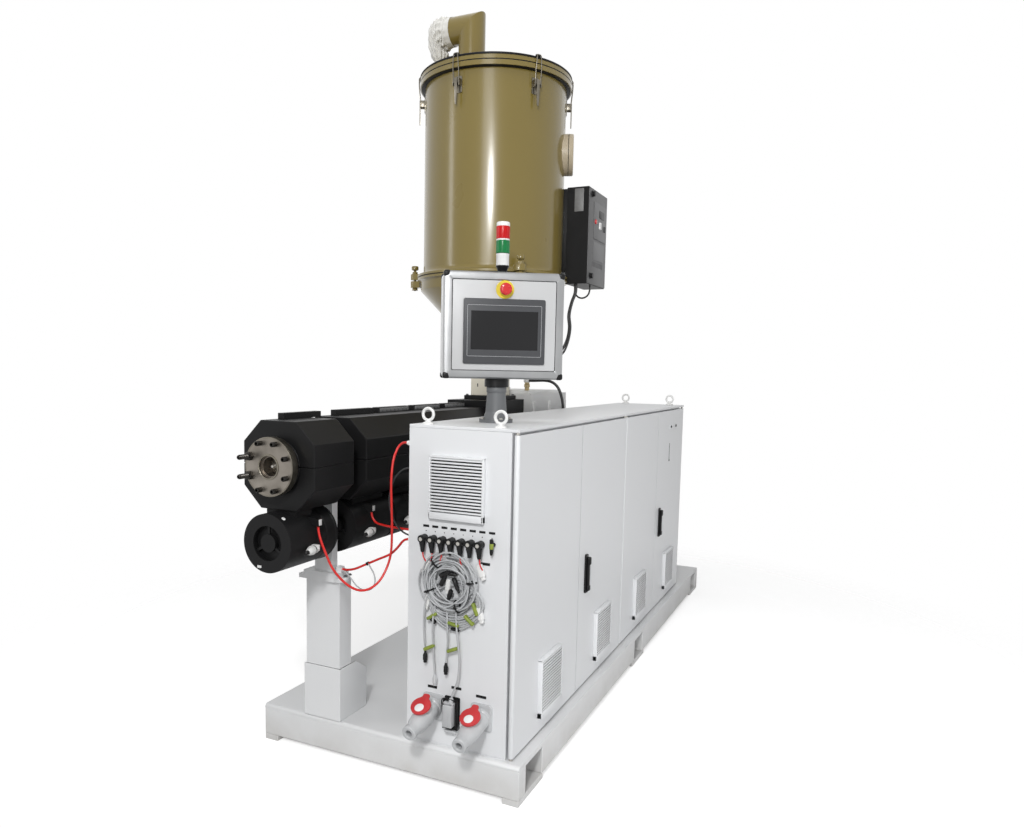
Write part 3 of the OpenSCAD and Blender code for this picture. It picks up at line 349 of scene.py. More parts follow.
yellow_gloss = finish("yellow_gloss", (.66, .52, .03), (.74, .6, .05), (.28, .36), 1200, 20, .03)
green_lens = finish("green_lens", (.004, .13, .035), (.008, .2, .055), (.2, .28), 300, 18, .02, spec=.25)
red_lens = finish("red_lens", (.42, .004, .006), (.6, .008, .01), (.2, .28), 300, 18, .02, spec=.25)
white_plastic = finish("white_plastic", (.74, .74, .73), (.82, .82, .81), (.3, .4), 1200, 24, .05)
grey_plastic = finish("grey_plastic", (.44, .45, .46), (.54, .55, .56), (.36, .48), 900, 16, .1)
# deep_shade is no plastic of its own: it paints the shade in holes, slots and bores.
deep_shade = finish("deep_shade", (.012, .012, .013), (.03, .03, .032), (.6, .75), 300, 12, .2)
green_sleeve = finish("green_sleeve", (.1, .17, .02), (.3, .34, .04), (.35, .45), 600, 60, .05)
print("finishes:", len(bpy.data.materials))

# %% [markdown]
# ## Leads and hoses
# The leads come early because their room is settled in the CAD model. Most repeat their route from the CAD
# source, in metres. A smooth curve runs through the route's points, as a stiff cable would bend.

# %% Lead helpers
def smooth_route(points, step=.012):
    pts = [Vector(p) for p in points]
    ends = [pts[0] * 2 - pts[1]] + pts + [pts[-1] * 2 - pts[-2]]
    line = []
    for a, b, c, d in zip(ends, ends[1:], ends[2:], ends[3:]):
        count = max(2, int(round((c - b).length / step)))
        for i in range(count):
            t = i / count
            line.append(.5 * (2 * b + (c - a) * t + (2 * a - 5 * b + 4 * c - d) * t ** 2
                              + (3 * b - a - 3 * c + d) * t ** 3))
    return line + [pts[-1]]


def run_length(line):
    return sum((q - p).length for p, q in zip(line, line[1:]))


def round_curve(name, line, r, resolution):
    data = bpy.data.curves.new(name, "CURVE")
    data.dimensions = "3D"
    data.bevel_depth = r
    data.bevel_resolution = resolution
    data.use_fill_caps = True
    spline = data.splines.new("POLY")
    spline.points.add(len(line) - 1)
    for point, p in zip(spline.points, line):
        point.co = (*p, 1.0)
    return data, spline


def make_lead(name, line, diameter, material, instead_of):
    data, spline = round_curve(name, line, diameter / 2, 3)
    spline.use_smooth = True
    data.materials.append(material)
    obj = bpy.data.objects.new(name, data)
    scene.collection.objects.link(obj)
    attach(obj, "machine")
    if instead_of:
        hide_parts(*instead_of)
    print(name, "length", round(run_length(line), 3))
    return obj


red_sheath = finish("red_sheath", (.55, .012, .01), (.66, .022, .018), (.3, .42), 900, 40, .06)
grey_sheath = finish("grey_sheath", (.36, .37, .38), (.5, .51, .52), (.34, .46), 900, 40, .06)
black_sheath = finish("black_sheath", (.008, .008, .009), (.016, .016, .017), (.34, .46), 900, 40, .08)
print("lead helpers and three sheaths ready")

# %% [markdown]
# ## Red leads
# Each blower is fed by a red lead that hangs from its plug and ends at the cabinet's back. A lead is a curve with a
# round bevel: the points give its way and the bevel its section, so no mesh has to be swept by hand.

# %% Red leads
RED = .008
red_routes = {
    "red_lead_1": [(-.148, -1.567, .842), (-.144, -1.567, .815), (-.13, -1.564, .775), (-.104, -1.545, .7),
                   (-.064, -1.517, .647), (-.03, -1.482, .629), (0, -1.44, .654), (.014, -1.4, .722),
                   (.02, -1.398, .812), (.027, -1.412, .885), (.036, -1.43, .985), (.037, -1.42, 1.05),
                   (.038, -1.406, 1.075), (.042, -1.399, 1.091), (.053, -1.396, 1.103), (.064, -1.396, 1.107),
                   (.075, -1.396, 1.107)],
    "red_lead_2": [(-.177, -1.396, .661), (-.158, -1.396, .661), (-.13, -1.392, .667), (-.09, -1.384, .686),
                   (-.04, -1.379, .71), (0, -1.374, .73), (.03, -1.376, .757), (.046, -1.3795, .775),
                   (.06, -1.382, .786), (.075, -1.382, .79)],
    "red_lead_3": [(-.148, -1.267, .842), (-.146, -1.267, .826), (-.135, -1.268, .81), (-.116, -1.27, .802),
                   (-.06, -1.28, .799), (0, -1.288, .799), (.05, -1.29, .8), (.075, -1.29, .8)],
}
for name, route in red_routes.items():
    make_lead(name, smooth_route(route), RED, red_sheath, ["red_leads"])

# %% [markdown]
# ## Hose, dryer leads and post lead
# The hose is stiffer than the leads, so it bends in wide curves. Two black leads run from the heater box to the cone,
# a short loop hangs below the box, and a thin grey lead bows from the barrel post to a red one.

# %% Hose, dryer leads and post lead
hose = [(-.15, .15, 1.296), (-.125, .15, 1.296), (-.064, .15, 1.298), (-.024, .15, 1.29), (.008, .15, 1.262),
        (.028, .15, 1.212), (.036, .15, 1.155), (.032, .15, 1.085), (.008, .15, 1.025), (-.022, .15, .994),
        (-.045, .15, .99), (-.065, .15, .99)]
probe = [(.14, 0, 1.755), (.14, -.002, 1.715), (.128, -.014, 1.67), (.118, -.02, 1.61), (.124, -.02, 1.55),
         (.114, -.022, 1.484), (.092, -.036, 1.428), (.05, -.09, 1.396), (0, -.15, 1.388), (-.048, -.19, 1.412),
         (-.1, -.19, 1.464), (-.127, -.1745, 1.4885)]
spare = [(.112, .06, 1.755), (.112, .06, 1.732), (.117, .06, 1.7135), (.1305, .06, 1.7), (.149, .06, 1.695),
         (.1675, .06, 1.7), (.181, .06, 1.7135), (.186, .06, 1.732), (.186, .06, 1.755)]
make_lead("breather_hose", smooth_route(hose), .014, black_sheath, ["black_leads"])
make_lead("probe_lead", smooth_route(probe), .01, black_sheath, ["black_leads"])
supply = [(.13, .012, 1.755), (.13, .01, 1.715), (.119, -.003, 1.67), (.108, -.009, 1.61), (.113, -.009, 1.55),
          (.103, -.012, 1.49), (.078, -.026, 1.438), (.036, -.06, 1.404), (-.02, -.09, 1.384), (-.09, -.104, 1.376),
          (-.14, -.105, 1.375), (-.181, -.105, 1.375)]
make_lead("supply_lead", smooth_route(supply), .012, black_sheath, [])
make_lead("dryer_loop", smooth_route(spare), .008, black_sheath, ["black_leads"])
bow = [(-.177, -1.399, .656), (-.16, -1.4, .652), (-.138, -1.402, .634), (-.114, -1.404, .613), (-.088, -1.405, .604),
       (-.062, -1.405, .607), (-.046, -1.404, .622), (-.042, -1.402, .642), (-.05, -1.398, .662),
       (-.066, -1.392, .678), (-.08, -1.3855, .6895)]
make_lead("post_lead", smooth_route(bow, .008), .005, grey_sheath, [])

# %% [markdown]
# ## The grey coil on the front panel
# Spare grey cable is wound into a flat coil and tied up against the panel. Its section is a small
# heap of turns, stacked like pipes, so each turn moves on to the next place in the heap once round.

# %% Grey coil
coil_low, coil_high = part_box("cable_coil")
coil_mid = (Vector(coil_low) + Vector(coil_high)) / 2
COIL_R, GREY, PITCH = .074, .006, .007
SPREAD, OVAL, STRAY = 1.75, .006, .008
heap = [(0, 0), (1, 0), (.5, .866), (-.5, .866), (-1, 0), (-.5, -.866), (.5, -.866), (1.5, -.866), (2, 0),
        (1.5, .866), (1, 1.732), (0, 1.732), (-1, 1.732), (-1.5, .866), (-2, 0)]
PER_TURN = 36
winding = []
for turn_no, (here, there) in enumerate(zip(heap, heap[1:])):
    for i in range(PER_TURN):
        t = i / PER_TURN
        ease = min(1.0, max(0.0, (t - .4) / .6))
        ease = ease * ease * (3 - 2 * ease)
        u = (here[0] + (there[0] - here[0]) * ease) * PITCH
        v = (here[1] + (there[1] - here[1]) * ease) * PITCH
        a = math.radians(100) + 2 * math.pi * t
        lap = turn_no + ease
        r = COIL_R + SPREAD * u + OVAL * math.sin(2 * a + 1.7 * lap) + .001 * math.sin(3 * a + 2.3 * lap)
        off_x, off_z = STRAY * math.sin(2.1 * lap), STRAY * math.cos(1.3 * lap)
        winding.append(Vector((coil_mid.x + off_x + r * math.cos(a), coil_mid.y - v,
                               coil_mid.z + off_z + r * math.sin(a))))
make_lead("grey_coil", winding, GREY, grey_sheath, ["cable_coil"])

# %% [markdown]
# ## Loops below the coil
# The last turns slip out of the ties and sag. They are one more cord: an ellipse that changes a little from lap to
# lap, because equal laps would look machined.

# %% Loops that sag below the coil
LOOPS = 8
sagging = []
for i in range(LOOPS * PER_TURN + 1):
    a = math.radians(80) + 2 * math.pi * i / PER_TURN
    lap = i / PER_TURN
    wide = .098 - .005 * abs(lap - 3.6) + .006 * math.sin(2 * a + 1.9 * lap)
    deep = .094 - .006 * lap + .003 * math.cos(3 * a + lap)
    sagging.append(Vector((.262 + wide * math.cos(a), -1.406 - .01 * abs(math.sin(.5 * a + .4 * lap)),
                           .614 + deep * math.sin(a))))
make_lead("grey_loops", sagging, GREY, grey_sheath, ["cable_coil"])

# %% [markdown]
# ## Grey leads
# Four ends hang from the coil, three of them with a plug. A plug is turned from one profile and gets four ribs for
# the grip. It is named after its cord, and both ride on the machine's body.

# %% Grey leads that hang from the coil
grey_routes = {
    "grey_lead_1": [(.174, -1.416, .64), (.16, -1.42, .59), (.156, -1.418, .52), (.16, -1.414, .436)],
    "grey_lead_2": [(.2, -1.416, .61), (.192, -1.424, .55), (.19, -1.418, .47), (.196, -1.414, .366)],
    "grey_lead_3": [(.238, -1.416, .594), (.244, -1.424, .54), (.243, -1.418, .48), (.236, -1.414, .41)],
    "grey_lead_4": [(.27, -1.416, .594), (.278, -1.424, .53), (.288, -1.424, .44), (.284, -1.424, .37),
                    (.266, -1.424, .318), (.262, -1.424, .288)],
}
plug_looks = {"grey_lead_1": black_plastic, "grey_lead_2": grey_plastic, "grey_lead_3": black_plastic}
for name, route in grey_routes.items():
    line = smooth_route(route)
    plug = []
    if name in plug_looks:
        bm = bmesh.new()
        tip = shift(*line[-1]) @ spin_x(180)
        add_lathe(bm, [(0, -.004), (.0036, -.004), (.0046, .003), (.0072, .008), (.0072, .026), (.006, .028),
                       (.006, .034), (0, .034)], tip, 20)
        for k in range(4):
            add_lathe(bm, [(.007, .01 + .004 * k), (.0078, .011 + .004 * k), (.0078, .012 + .004 * k),
                           (.007, .013 + .004 * k)], tip, 20, loop=True)
        plug = [make_piece(name + "_plug", bm, plug_looks[name], ["grey_leads"])]
    make_lead(name, line, GREY, grey_sheath, ["grey_leads"])

# %% [markdown]
# ## Helpers for small fittings
# Bolts, rounded plates, wires and lofted shells turn up all over the machine, so each gets one helper.
# A wire is drawn as a bevelled curve and turned into mesh, which keeps its section round in the bends.

# %% Fitting helpers
FACE_X = Matrix(((0, 0, 1, 0), (1, 0, 0, 0), (0, 1, 0, 0), (0, 0, 0, 1)))
FACE_FRONT = spin_x(90)


def box_of(node):
    low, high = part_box(node)
    return low, high, [(a + b) / 2 for a, b in zip(low, high)]


def aim(spot, axis):
    return Matrix.Translation(spot) @ Vector(axis).to_track_quat("Z", "Y").to_matrix().to_4x4()


def ring_points(r, count):
    return [(r * math.cos(2 * math.pi * k / count), r * math.sin(2 * math.pi * k / count)) for k in range(count)]


def rounded(w, h, r, count=5):
    out = []
    for cx, cy, a0 in ((1, 1, 0), (-1, 1, 90), (-1, -1, 180), (1, -1, 270)):
        for k in range(count + 1):
            a = math.radians(a0 + 90 * k / count)
            out.append((cx * (w / 2 - r) + r * math.cos(a), cy * (h / 2 - r) + r * math.sin(a)))
    return out


def add_plate(bm, w, h, r, thick, place, edge=0.0):
    return add_prism(bm, rounded(w, h, r), 0.0, thick, place, edge)


def add_bolt(bm, spot, axis, r):
    place = aim(spot, axis)
    add_lathe(bm, [(0, 0), (1.5 * r, 0), (1.5 * r, .25 * r), (0, .25 * r)], place, 20)
    add_prism(bm, ring_points(1.15 * r, 6), .25 * r, 1.05 * r, place, .1 * r)


def add_wire(bm, points, r, place=Matrix(), loop=False):
    data, spline = round_curve("wire", [place @ Vector(p) for p in points], r, 2)
    spline.use_cyclic_u = loop
    carrier = bpy.data.objects.new("wire", data)
    mesh = bpy.data.meshes.new_from_object(carrier)
    bm.from_mesh(mesh)
    bpy.data.meshes.remove(mesh)
    bpy.data.objects.remove(carrier)
    bpy.data.curves.remove(data)
    bmesh.ops.remove_doubles(bm, verts=bm.verts, dist=1e-6)


def add_loft(bm, loops, place=Matrix(), caps=(True, True)):
    before = set(bm.verts)
    rings = []
    for loop in loops:
        verts = [bm.verts.new(p) for p in loop]
        rings.append([bm.edges.new(pair) for pair in zip(verts, verts[1:] + verts[:1])])
    for a, b in zip(rings, rings[1:]):
        bmesh.ops.bridge_loops(bm, edges=a + b)
    for wanted, ring in zip(caps, (rings[0], rings[-1])):
        if wanted:
            bmesh.ops.edgeloop_fill(bm, edges=ring)
    return settle(bm, before, place)


print("fitting helpers ready")

# %% [markdown]
# ## Vents
# A filter fan's cover is a moulded frame with flat slats. Light falls on the slats while the space behind them lies
# in shade, so the slats stand in front of a dark sheet of painted shade. The lip along the bottom is taller than the
# other edges.

# %% Vents on the front panel and the doors
VENT_W, VENT_H, VENT_D, SLITS = .192, .202, .018, 17
# The dark sheet behind the slats is painted shade between the slats.
filter_mat = finish("filter_mat", (.012, .012, .012), (.035, .034, .032), (.7, .85), 500, 120, .5)


def make_vent(node, body, place):
    bm = bmesh.new()
    w, h, d = VENT_W / 2, VENT_H / 2, VENT_D
    add_box(bm, (-w, -d, -h), (w, 0, -h + .022), .002, place)
    add_box(bm, (-w, -d, h - .007), (w, 0, h), .002, place)
    for x0, x1 in ((-w, -w + .005), (w - .006, w)):
        add_box(bm, (x0, -d, -h + .001), (x1, 0, h - .001), .0015, place)
    pitch = (2 * h - .029) / SLITS
    for i in range(SLITS):
        z = -h + .022 + (i + .62) * pitch
        add_box(bm, (-w + .002, -.0022, -.0028), (w - .002, .0022, .0028), .0009,
                place @ shift(0, -d + .003, z) @ spin_x(-4))
    make_piece(node + "_cover", bm, cabinet_paint, [node], body)
    bm = bmesh.new()
    add_plate(bm, VENT_W - .01, VENT_H - .014, .003, .004, place @ shift(0, -.002, .004) @ FACE_FRONT)
    make_piece(node + "_mat", bm, filter_mat, [node], body)


low, high, mid = box_of("front_vent")
make_vent("front_vent", "machine", shift(mid[0], high[1], mid[2]))
for i in range(1, 5):
    low, high, mid = box_of("vent_%d" % i)
    make_vent("vent_%d" % i, "door_%d" % i, shift(low[0], mid[1], mid[2]) @ spin_z(90))
print("vents with", SLITS, "slits each")

# %% [markdown]
# ## Swing handles and the door catch
# The doors close with black swing handles: a dished plate, a lever hinged at its top and a lock below.
# Each handle rides on its own door. The rear door has a small catch plate with two screws near its rear edge.

# %% Door handles
DOOR_X = .466
for node, body in (("handle_1", "door_2"), ("handle_2", "door_4")):
    low, high, mid = box_of(node)
    at = shift(low[0], mid[1], mid[2])
    bm = bmesh.new()
    add_plate(bm, .03, .15, .008, .007, at @ FACE_X, .002)
    add_box(bm, (.006, -.0085, -.058), (.017, .0085, .056), .004, at, 3)
    add_box(bm, (.006, -.01, .034), (.0215, .01, .066), .006, at, 3)
    add_box(bm, (.006, -.01, -.066), (.0195, .01, -.044), .005, at, 3)
    add_rod(bm, at @ Vector((.005, 0, -.0685)), at @ Vector((.0105, 0, -.0685)), .0045)
    make_piece(node + "_lever", bm, black_plastic, [node], body)
bm = bmesh.new()
add_plate(bm, .15, .022, .004, .003, shift(DOOR_X, .705, 1.063) @ FACE_X, .001)
make_piece("catch_plate", bm, cabinet_paint, body="door_4")
bm = bmesh.new()
for y in (.648, .762):
    add_lathe(bm, [(0, 0), (.007, 0), (.007, .002), (.004, .0045), (0, .005)], shift(.469, y, 1.063) @ spin_y(90), 20)
add_plate(bm, .004, .086, .0018, .0012, shift(DOOR_X, .64, .932) @ FACE_X)
add_lathe(bm, [(0, 0), (.006, 0), (.006, .002), (0, .004)], shift(DOOR_X, .64, .884) @ spin_y(90), 20)
make_piece("catch_screws", bm, black_plastic, body="door_4")
print("handles and catch")

# %% [markdown]
# ## Lifting eyes
# Eye bolts are forged: a round ring on a collar. A circle spun round an axis beside it gives the ring.

# %% Lifting eyes
bm = bmesh.new()
for x in (.1345, .3905):
    for y in (-1.368, .94):
        add_lathe(bm, [(.019 + x_off, z_off) for x_off, z_off in ring_points(.005, 12)],
                  shift(x, y, 1.2) @ FACE_FRONT, 36, loop=True)
        add_lathe(bm, [(0, 0), (.019, 0), (.019, .004), (.013, .007), (.0075, .01), (.006, .016), (0, .016)],
                  shift(x, y, 1.168), 28)
make_piece("eye_bolts", bm, white_plastic, ["lifting_eyes"])
print("four eye bolts")

# %% [markdown]
# ## Operator panel
# The command box is made of aluminium profiles with plastic corners. Its side shows rails and grooves, so the box is
# lofted from rounded rectangles: each station has a depth and an inset. Black bands in the three grooves paint their
# shade. The front plate lies in the frame on a dark seal, which also paints the shade of the gap round the plate.
# All of it turns with the swivel, so every piece rides on the operator panel's body.

# %% Command box
PANEL_X, PANEL_Y = .2625, -1.13
PANEL = shift(PANEL_X, PANEL_Y, 1.3153) @ spin_z(33) @ shift(.012)
BOX_W, BOX_H = .4, .35
stations = [(-.0665, .0275), (-.069, .027), (-.07, .0255), (-.07, .012), (-.068, .0055), (-.064, .002),
            (-.059, .0002), (-.038, .0002), (-.0355, .0012), (-.0345, .005), (-.0315, .005), (-.0305, .0015),
            (-.006, .0015), (-.005, .005), (-.002, .005), (-.001, .0015), (.024, .0015), (.025, .005),
            (.028, .005), (.029, .001), (.056, .0002), (.064, .003), (.0685, .008), (.07, .015)]


def box_ring(y, inset, r):
    return [(x, y, z + BOX_H / 2) for x, z in rounded(BOX_W - 2 * inset, BOX_H - 2 * inset, r)]


bm = bmesh.new()
add_loft(bm, [box_ring(y, inset, max(.004, .016 - .5 * inset)) for y, inset in stations], PANEL, caps=(False, True))
make_piece("panel_profiles", bm, brushed_aluminium, ["hmi_box"], "operator_panel", smooth=28)
bm = bmesh.new()
# Black bands in the grooves paint the shade inside them; the plate below is the seal and the painted shade of the gap.
for y0, y1 in ((-.0343, -.0317), (-.0048, -.0022), (.0252, .0278)):
    add_loft(bm, [box_ring(y, .00375, .013) for y in (y0, y1)], PANEL, caps=(False, False))
add_plate(bm, .3455, .2955, .004, .0006, PANEL @ shift(0, -.066, BOX_H / 2) @ FACE_FRONT)
make_piece("panel_seal_and_groove_shade", bm, gasket_rubber, ["hmi_box"], "operator_panel")
bm = bmesh.new()
add_plate(bm, .3418, .2918, .004, .0022, PANEL @ shift(0, -.0665, BOX_H / 2) @ FACE_FRONT, .0006)
make_piece("panel_plate", bm, panel_grey, ["hmi_box"], "operator_panel")
bm = bmesh.new()
for sx in (-1, 1):
    for sz in (-1, 1):
        x, z = sx * (BOX_W / 2 - .0105), BOX_H / 2 + sz * (BOX_H / 2 - .0105)
        for y0, y1 in ((-.0708, -.04), (.046, .0708)):
            add_box(bm, (x - .011, y0, z - .011), (x + .011, y1, z + .011), .007, PANEL, 4)
make_piece("panel_corners", bm, black_plastic, ["hmi_box"], "operator_panel")

# %% [markdown]
# ## Touch screen
# The screen is a dark bezel with a pane of glass on it. Thin plates with bevelled rims are enough, and a fine wire
# round the pane draws the moulded line.

# %% Touch screen
bm = bmesh.new()
SCREEN = PANEL @ shift(0, -.067, .155) @ FACE_FRONT
add_plate(bm, .271, .213, .006, .008, SCREEN, .0016)
make_piece("screen_bezel", bm, dark_bezel, ["hmi_screen"], "operator_panel")
bm = bmesh.new()
add_plate(bm, .222, .126, .001, .0006, SCREEN @ shift(0, .0035, .008), .0002)
make_piece("screen_glass", bm, screen_glass, ["hmi_screen"], "operator_panel")
bm = bmesh.new()
rim = [(x, y + .002, .0083) for x, y in rounded(.245, .166, .003, 3)]
add_wire(bm, rim, .0006, SCREEN, loop=True)
make_piece("screen_line", bm, grey_plastic, ["hmi_screen"], "operator_panel")

# %% [markdown]
# ## Emergency stop
# A red mushroom sits on a yellow plate. Both are turned from a profile, which gives the head its soft edge at once.
# Three small ribs on top show that it is turned to let go.

# %% Emergency stop
STOP = PANEL @ shift(0, -.067, .292) @ FACE_FRONT
bm = bmesh.new()
add_lathe(bm, [(0, 0), (.0295, 0), (.03, .0008), (.03, .003), (.029, .004), (.0165, .0044), (.0165, .01),
               (.015, .012), (0, .012)], STOP, 48)
make_piece("stop_plate", bm, yellow_gloss, ["emergency_stop"], "operator_panel")
bm = bmesh.new()
add_lathe(bm, [(0, .011), (.012, .011), (.0125, .017), (.018, .0185), (.02, .02), (.02, .026), (.019, .029),
               (.016, .031), (.01, .0322), (0, .0324)], STOP, 48)
for k in range(3):
    add_box(bm, (.0085, -.0022, .0312), (.015, .0022, .033), .0008, STOP @ spin_z(30 + 120 * k))
make_piece("stop_button", bm, red_gloss, ["emergency_stop"], "operator_panel")

# %% [markdown]
# ## Tower light
# Foot, base, two lenses and a cap are stacked on one axis. Each is a turned piece of its own, because each has its
# own finish. Fine ribs round the lenses break up the shine.

# %% Tower light
TOWER = PANEL @ shift(0, 0, .35)
tower = [
    ("tower_foot", black_plastic, [(0, 0), (.015, 0), (.015, .009), (.0165, .011), (.0195, .02), (.0225, .0235),
                                   (.0225, .027), (0, .027)]),
    ("tower_base", white_plastic, [(0, .027), (.0205, .027), (.0215, .029), (.0215, .061), (.0222, .062),
                                   (.0222, .0655), (.021, .066), (0, .066)]),
    ("tower_seal", black_plastic, [(0, .066), (.0214, .066), (.0214, .0675), (0, .0675)]),
    ("tower_green", green_lens, [(0, .0675), (.022, .0675), (.0225, .069), (.0225, .1075), (.022, .109), (0, .109)]),
    ("tower_ring", white_plastic, [(0, .109), (.0215, .109), (.0222, .11), (.0222, .1135), (.0215, .1145), (0, .1145)]),
    ("tower_red", red_lens, [(0, .1145), (.022, .1145), (.0225, .116), (.0225, .1545), (.022, .156), (0, .156)]),
    ("tower_cap", white_plastic, [(0, .156), (.0222, .156), (.0225, .158), (.0225, .165), (.021, .169), (.017, .1706),
                                  (0, .171)]),
]
for name, material, profile in tower:
    bm = bmesh.new()
    add_lathe(bm, profile, TOWER, 40)
    if material in (green_lens, red_lens):
        for k in range(24):
            low_z, high_z = profile[2][1], profile[3][1]
            add_box(bm, (.022, -.0009, low_z), (.0229, .0009, high_z), .0004, TOWER @ spin_z(15 * k), 1)
    make_piece(name, bm, material, ["tower_light"], "operator_panel")

# %% [markdown]
# ## Pedestal coupling
# The box turns on a collar above the cast pedestal. Collar and ring stay with the machine, and only the box swings,
# so these pieces ride on the machine's body.

# %% Pedestal coupling
PED = shift(PANEL_X, PANEL_Y)
bm = bmesh.new()
add_lathe(bm, [(.03, 1.288), (.0395, 1.288), (.041, 1.2895), (.041, 1.3125), (.0395, 1.3143), (.03, 1.3143)], PED, 40,
          loop=True)
make_piece("swivel_collar", bm, black_plastic)
bm = bmesh.new()
add_lathe(bm, [(.029, 1.269), (.033, 1.269), (.0338, 1.2705), (.0338, 1.2865), (.033, 1.288), (.029, 1.288)], PED, 40,
          loop=True)
make_piece("swivel_ring", bm, cast_grey)
bm = bmesh.new()
for k in range(4):
    add_bolt(bm, PED @ spin_z(45 + 90 * k) @ Vector((.0485, 0, 1.18)), (0, 0, 1), .005)
make_piece("pedestal_bolts", bm, bright_steel)

# %% [markdown]
# ## Hopper trim and cone jacket
# The lid is a stack of rims with black trim between them, and the joint below has two rims round a seal. Each is a
# ring, so one closed profile is spun round the hopper's axis. A jacket of the same kind gives the cone its band.
# The lowest black ring, under the lid's edge, stands for the gasket there and also paints the shade of the gap below
# the lid.

# %% Hopper trim and cone jacket
AXIS_X, HOPPER_Y = -.247, -.105
HOP = shift(AXIS_X, HOPPER_Y)
bm = bmesh.new()
add_lathe(bm, [(.34, 2.68), (.3545, 2.679), (.355, 2.68), (.3545, 2.686), (.3505, 2.6895), (.34, 2.689)], HOP, 128,
          loop=True)
add_lathe(bm, [(.347, 2.6578), (.3526, 2.6578), (.3526, 2.6622), (.347, 2.6622)], HOP, 128, loop=True)
# This ring is the gasket under the lid and also painted shade of the gap below the lid's edge.
add_lathe(bm, [(.3292, 2.6345), (.344, 2.6345), (.347, 2.6355), (.347, 2.6379), (.3292, 2.6379)], HOP, 128, loop=True)
add_lathe(bm, [(.352, 1.7706), (.3578, 1.7706), (.3578, 1.7734), (.352, 1.7734)], HOP, 128, loop=True)
make_piece("hopper_seals_and_gap_shade", bm, gasket_rubber)
bm = bmesh.new()
add_lathe(bm, [(.3288, 1.811), (.3297, 1.801), (.3325, 1.7935), (.3385, 1.7882), (.348, 1.7862), (.356, 1.7858),
               (.3577, 1.784), (.3577, 1.7745), (.356, 1.7735), (.3288, 1.7735)], HOP, 128, loop=True)
add_lathe(bm, [(.3408, 1.752), (.343, 1.757), (.348, 1.7586), (.356, 1.7588), (.3577, 1.7604), (.3577, 1.7695),
               (.356, 1.7705), (.3408, 1.7705)], HOP, 128, loop=True)
make_piece("joint_rims", bm, olive_paint)
bm = bmesh.new()
add_lathe(bm, [(.067, 1.429), (.069, 1.429), (.3396, 1.712), (.3406, 1.7136), (.341, 1.7155), (.341, 1.7588),
               (.325, 1.7588)], HOP, 128, loop=True)
make_piece("cone_jacket", bm, olive_paint)

# %% [markdown]
# ## Lid latches
# Six toggle latches hold the lid: a plate on the shell, a hanging lever and a wire loop that hooks over the lid. One
# set of shapes is turned about the hopper's axis in steps of 60 degrees, so all six stay alike.

# %% Lid latches
bail = smooth_route([(.351, .0125, 2.578), (.3555, .014, 2.62), (.359, .0125, 2.66), (.359, .01, 2.69),
                     (.353, .006, 2.6965), (.353, -.006, 2.6965), (.359, -.01, 2.69), (.359, -.0125, 2.66),
                     (.3555, -.014, 2.62), (.351, -.0125, 2.578)], .004)
lever = [(-.0075, 2.594), (.0075, 2.594), (.007, 2.545), (.005, 2.5), (.003, 2.484), (-.003, 2.484), (-.005, 2.5),
         (-.007, 2.545)]
bm, hooks = bmesh.new(), bmesh.new()
for k in range(6):
    at = HOP @ spin_z(26 + 60 * k)
    add_plate(bm, .034, .07, .006, .0035, at @ shift(.3292, 0, 2.572) @ FACE_X, .001)
    for s in (-1, 1):
        add_box(bm, (.3315, s * .015 - .0015, 2.562), (.355, s * .015 + .0015, 2.592), .001, at)
    add_rod(bm, at @ Vector((.351, -.0185, 2.578)), at @ Vector((.351, .0185, 2.578)), .003)
    add_prism(bm, lever, 0, .0045, at @ shift(.3525, 0, 0) @ FACE_X, .0012)
    add_wire(bm, bail, .0021, at)
    add_box(hooks, (.333, -.01, 2.6885), (.356, .01, 2.6945), .0025, at)
    add_rod(hooks, at @ Vector((.35, -.012, 2.693)), at @ Vector((.35, .012, 2.693)), .0042)
make_piece("latch_levers", bm, dull_steel, ["lid_clamps"])
make_piece("latch_hooks", hooks, dark_steel, ["lid_clamps"])

# %% [markdown]
# ## Joint clamps
# Three bolts squeeze lugs of the two flanges. The thread is a zigzag profile spun round the bolt: from this far
# nobody sees that it has no pitch, and a true helix would cost many more faces.

# %% Joint clamps
bm, rods = bmesh.new(), bmesh.new()
for k in range(3):
    at = HOP @ spin_z(73.5 + 120 * k)
    for z0, z1 in ((1.738, 1.769), (1.775, 1.803)):
        add_prism(bm, [(.356, -.023), (.392, -.023), (.402, -.017), (.406, -.008), (.406, .008), (.402, .017),
                       (.392, .023), (.356, .023)], z0, z1, at, .002)
    axis = at @ shift(.387, 0, 0)
    thread = []
    for i in range(22):
        thread += [(.007, 1.724 + .005 * i), (.0062, 1.7265 + .005 * i)]
    add_lathe(rods, [(0, 1.724)] + thread + [(0, 1.834)], axis, 20)
    for z in (1.727, 1.804):
        add_lathe(rods, [(0, z - .001), (.0155, z - .001), (.0155, z + .001), (0, z + .001)], axis, 24)
        add_prism(rods, ring_points(.0135, 6), z + .001, z + .0105, axis, .001)
    add_lathe(rods, [(0, 1.822), (.012, 1.822), (.0165, 1.825), (.017, 1.828), (.017, 1.838), (.015, 1.842),
                     (.006, 1.8435), (0, 1.8437)], axis, 28)
make_piece("joint_lugs", bm, olive_paint, ["joint_clamps"])
make_piece("joint_bolts", rods, olive_paint, ["joint_clamps"])

# %% [markdown]
# ## Inspection port
# A round cover closes the port, with a groove for its seal and a dished face. One turned profile gives all of it,
# and it takes the place of the plain CAD disc.

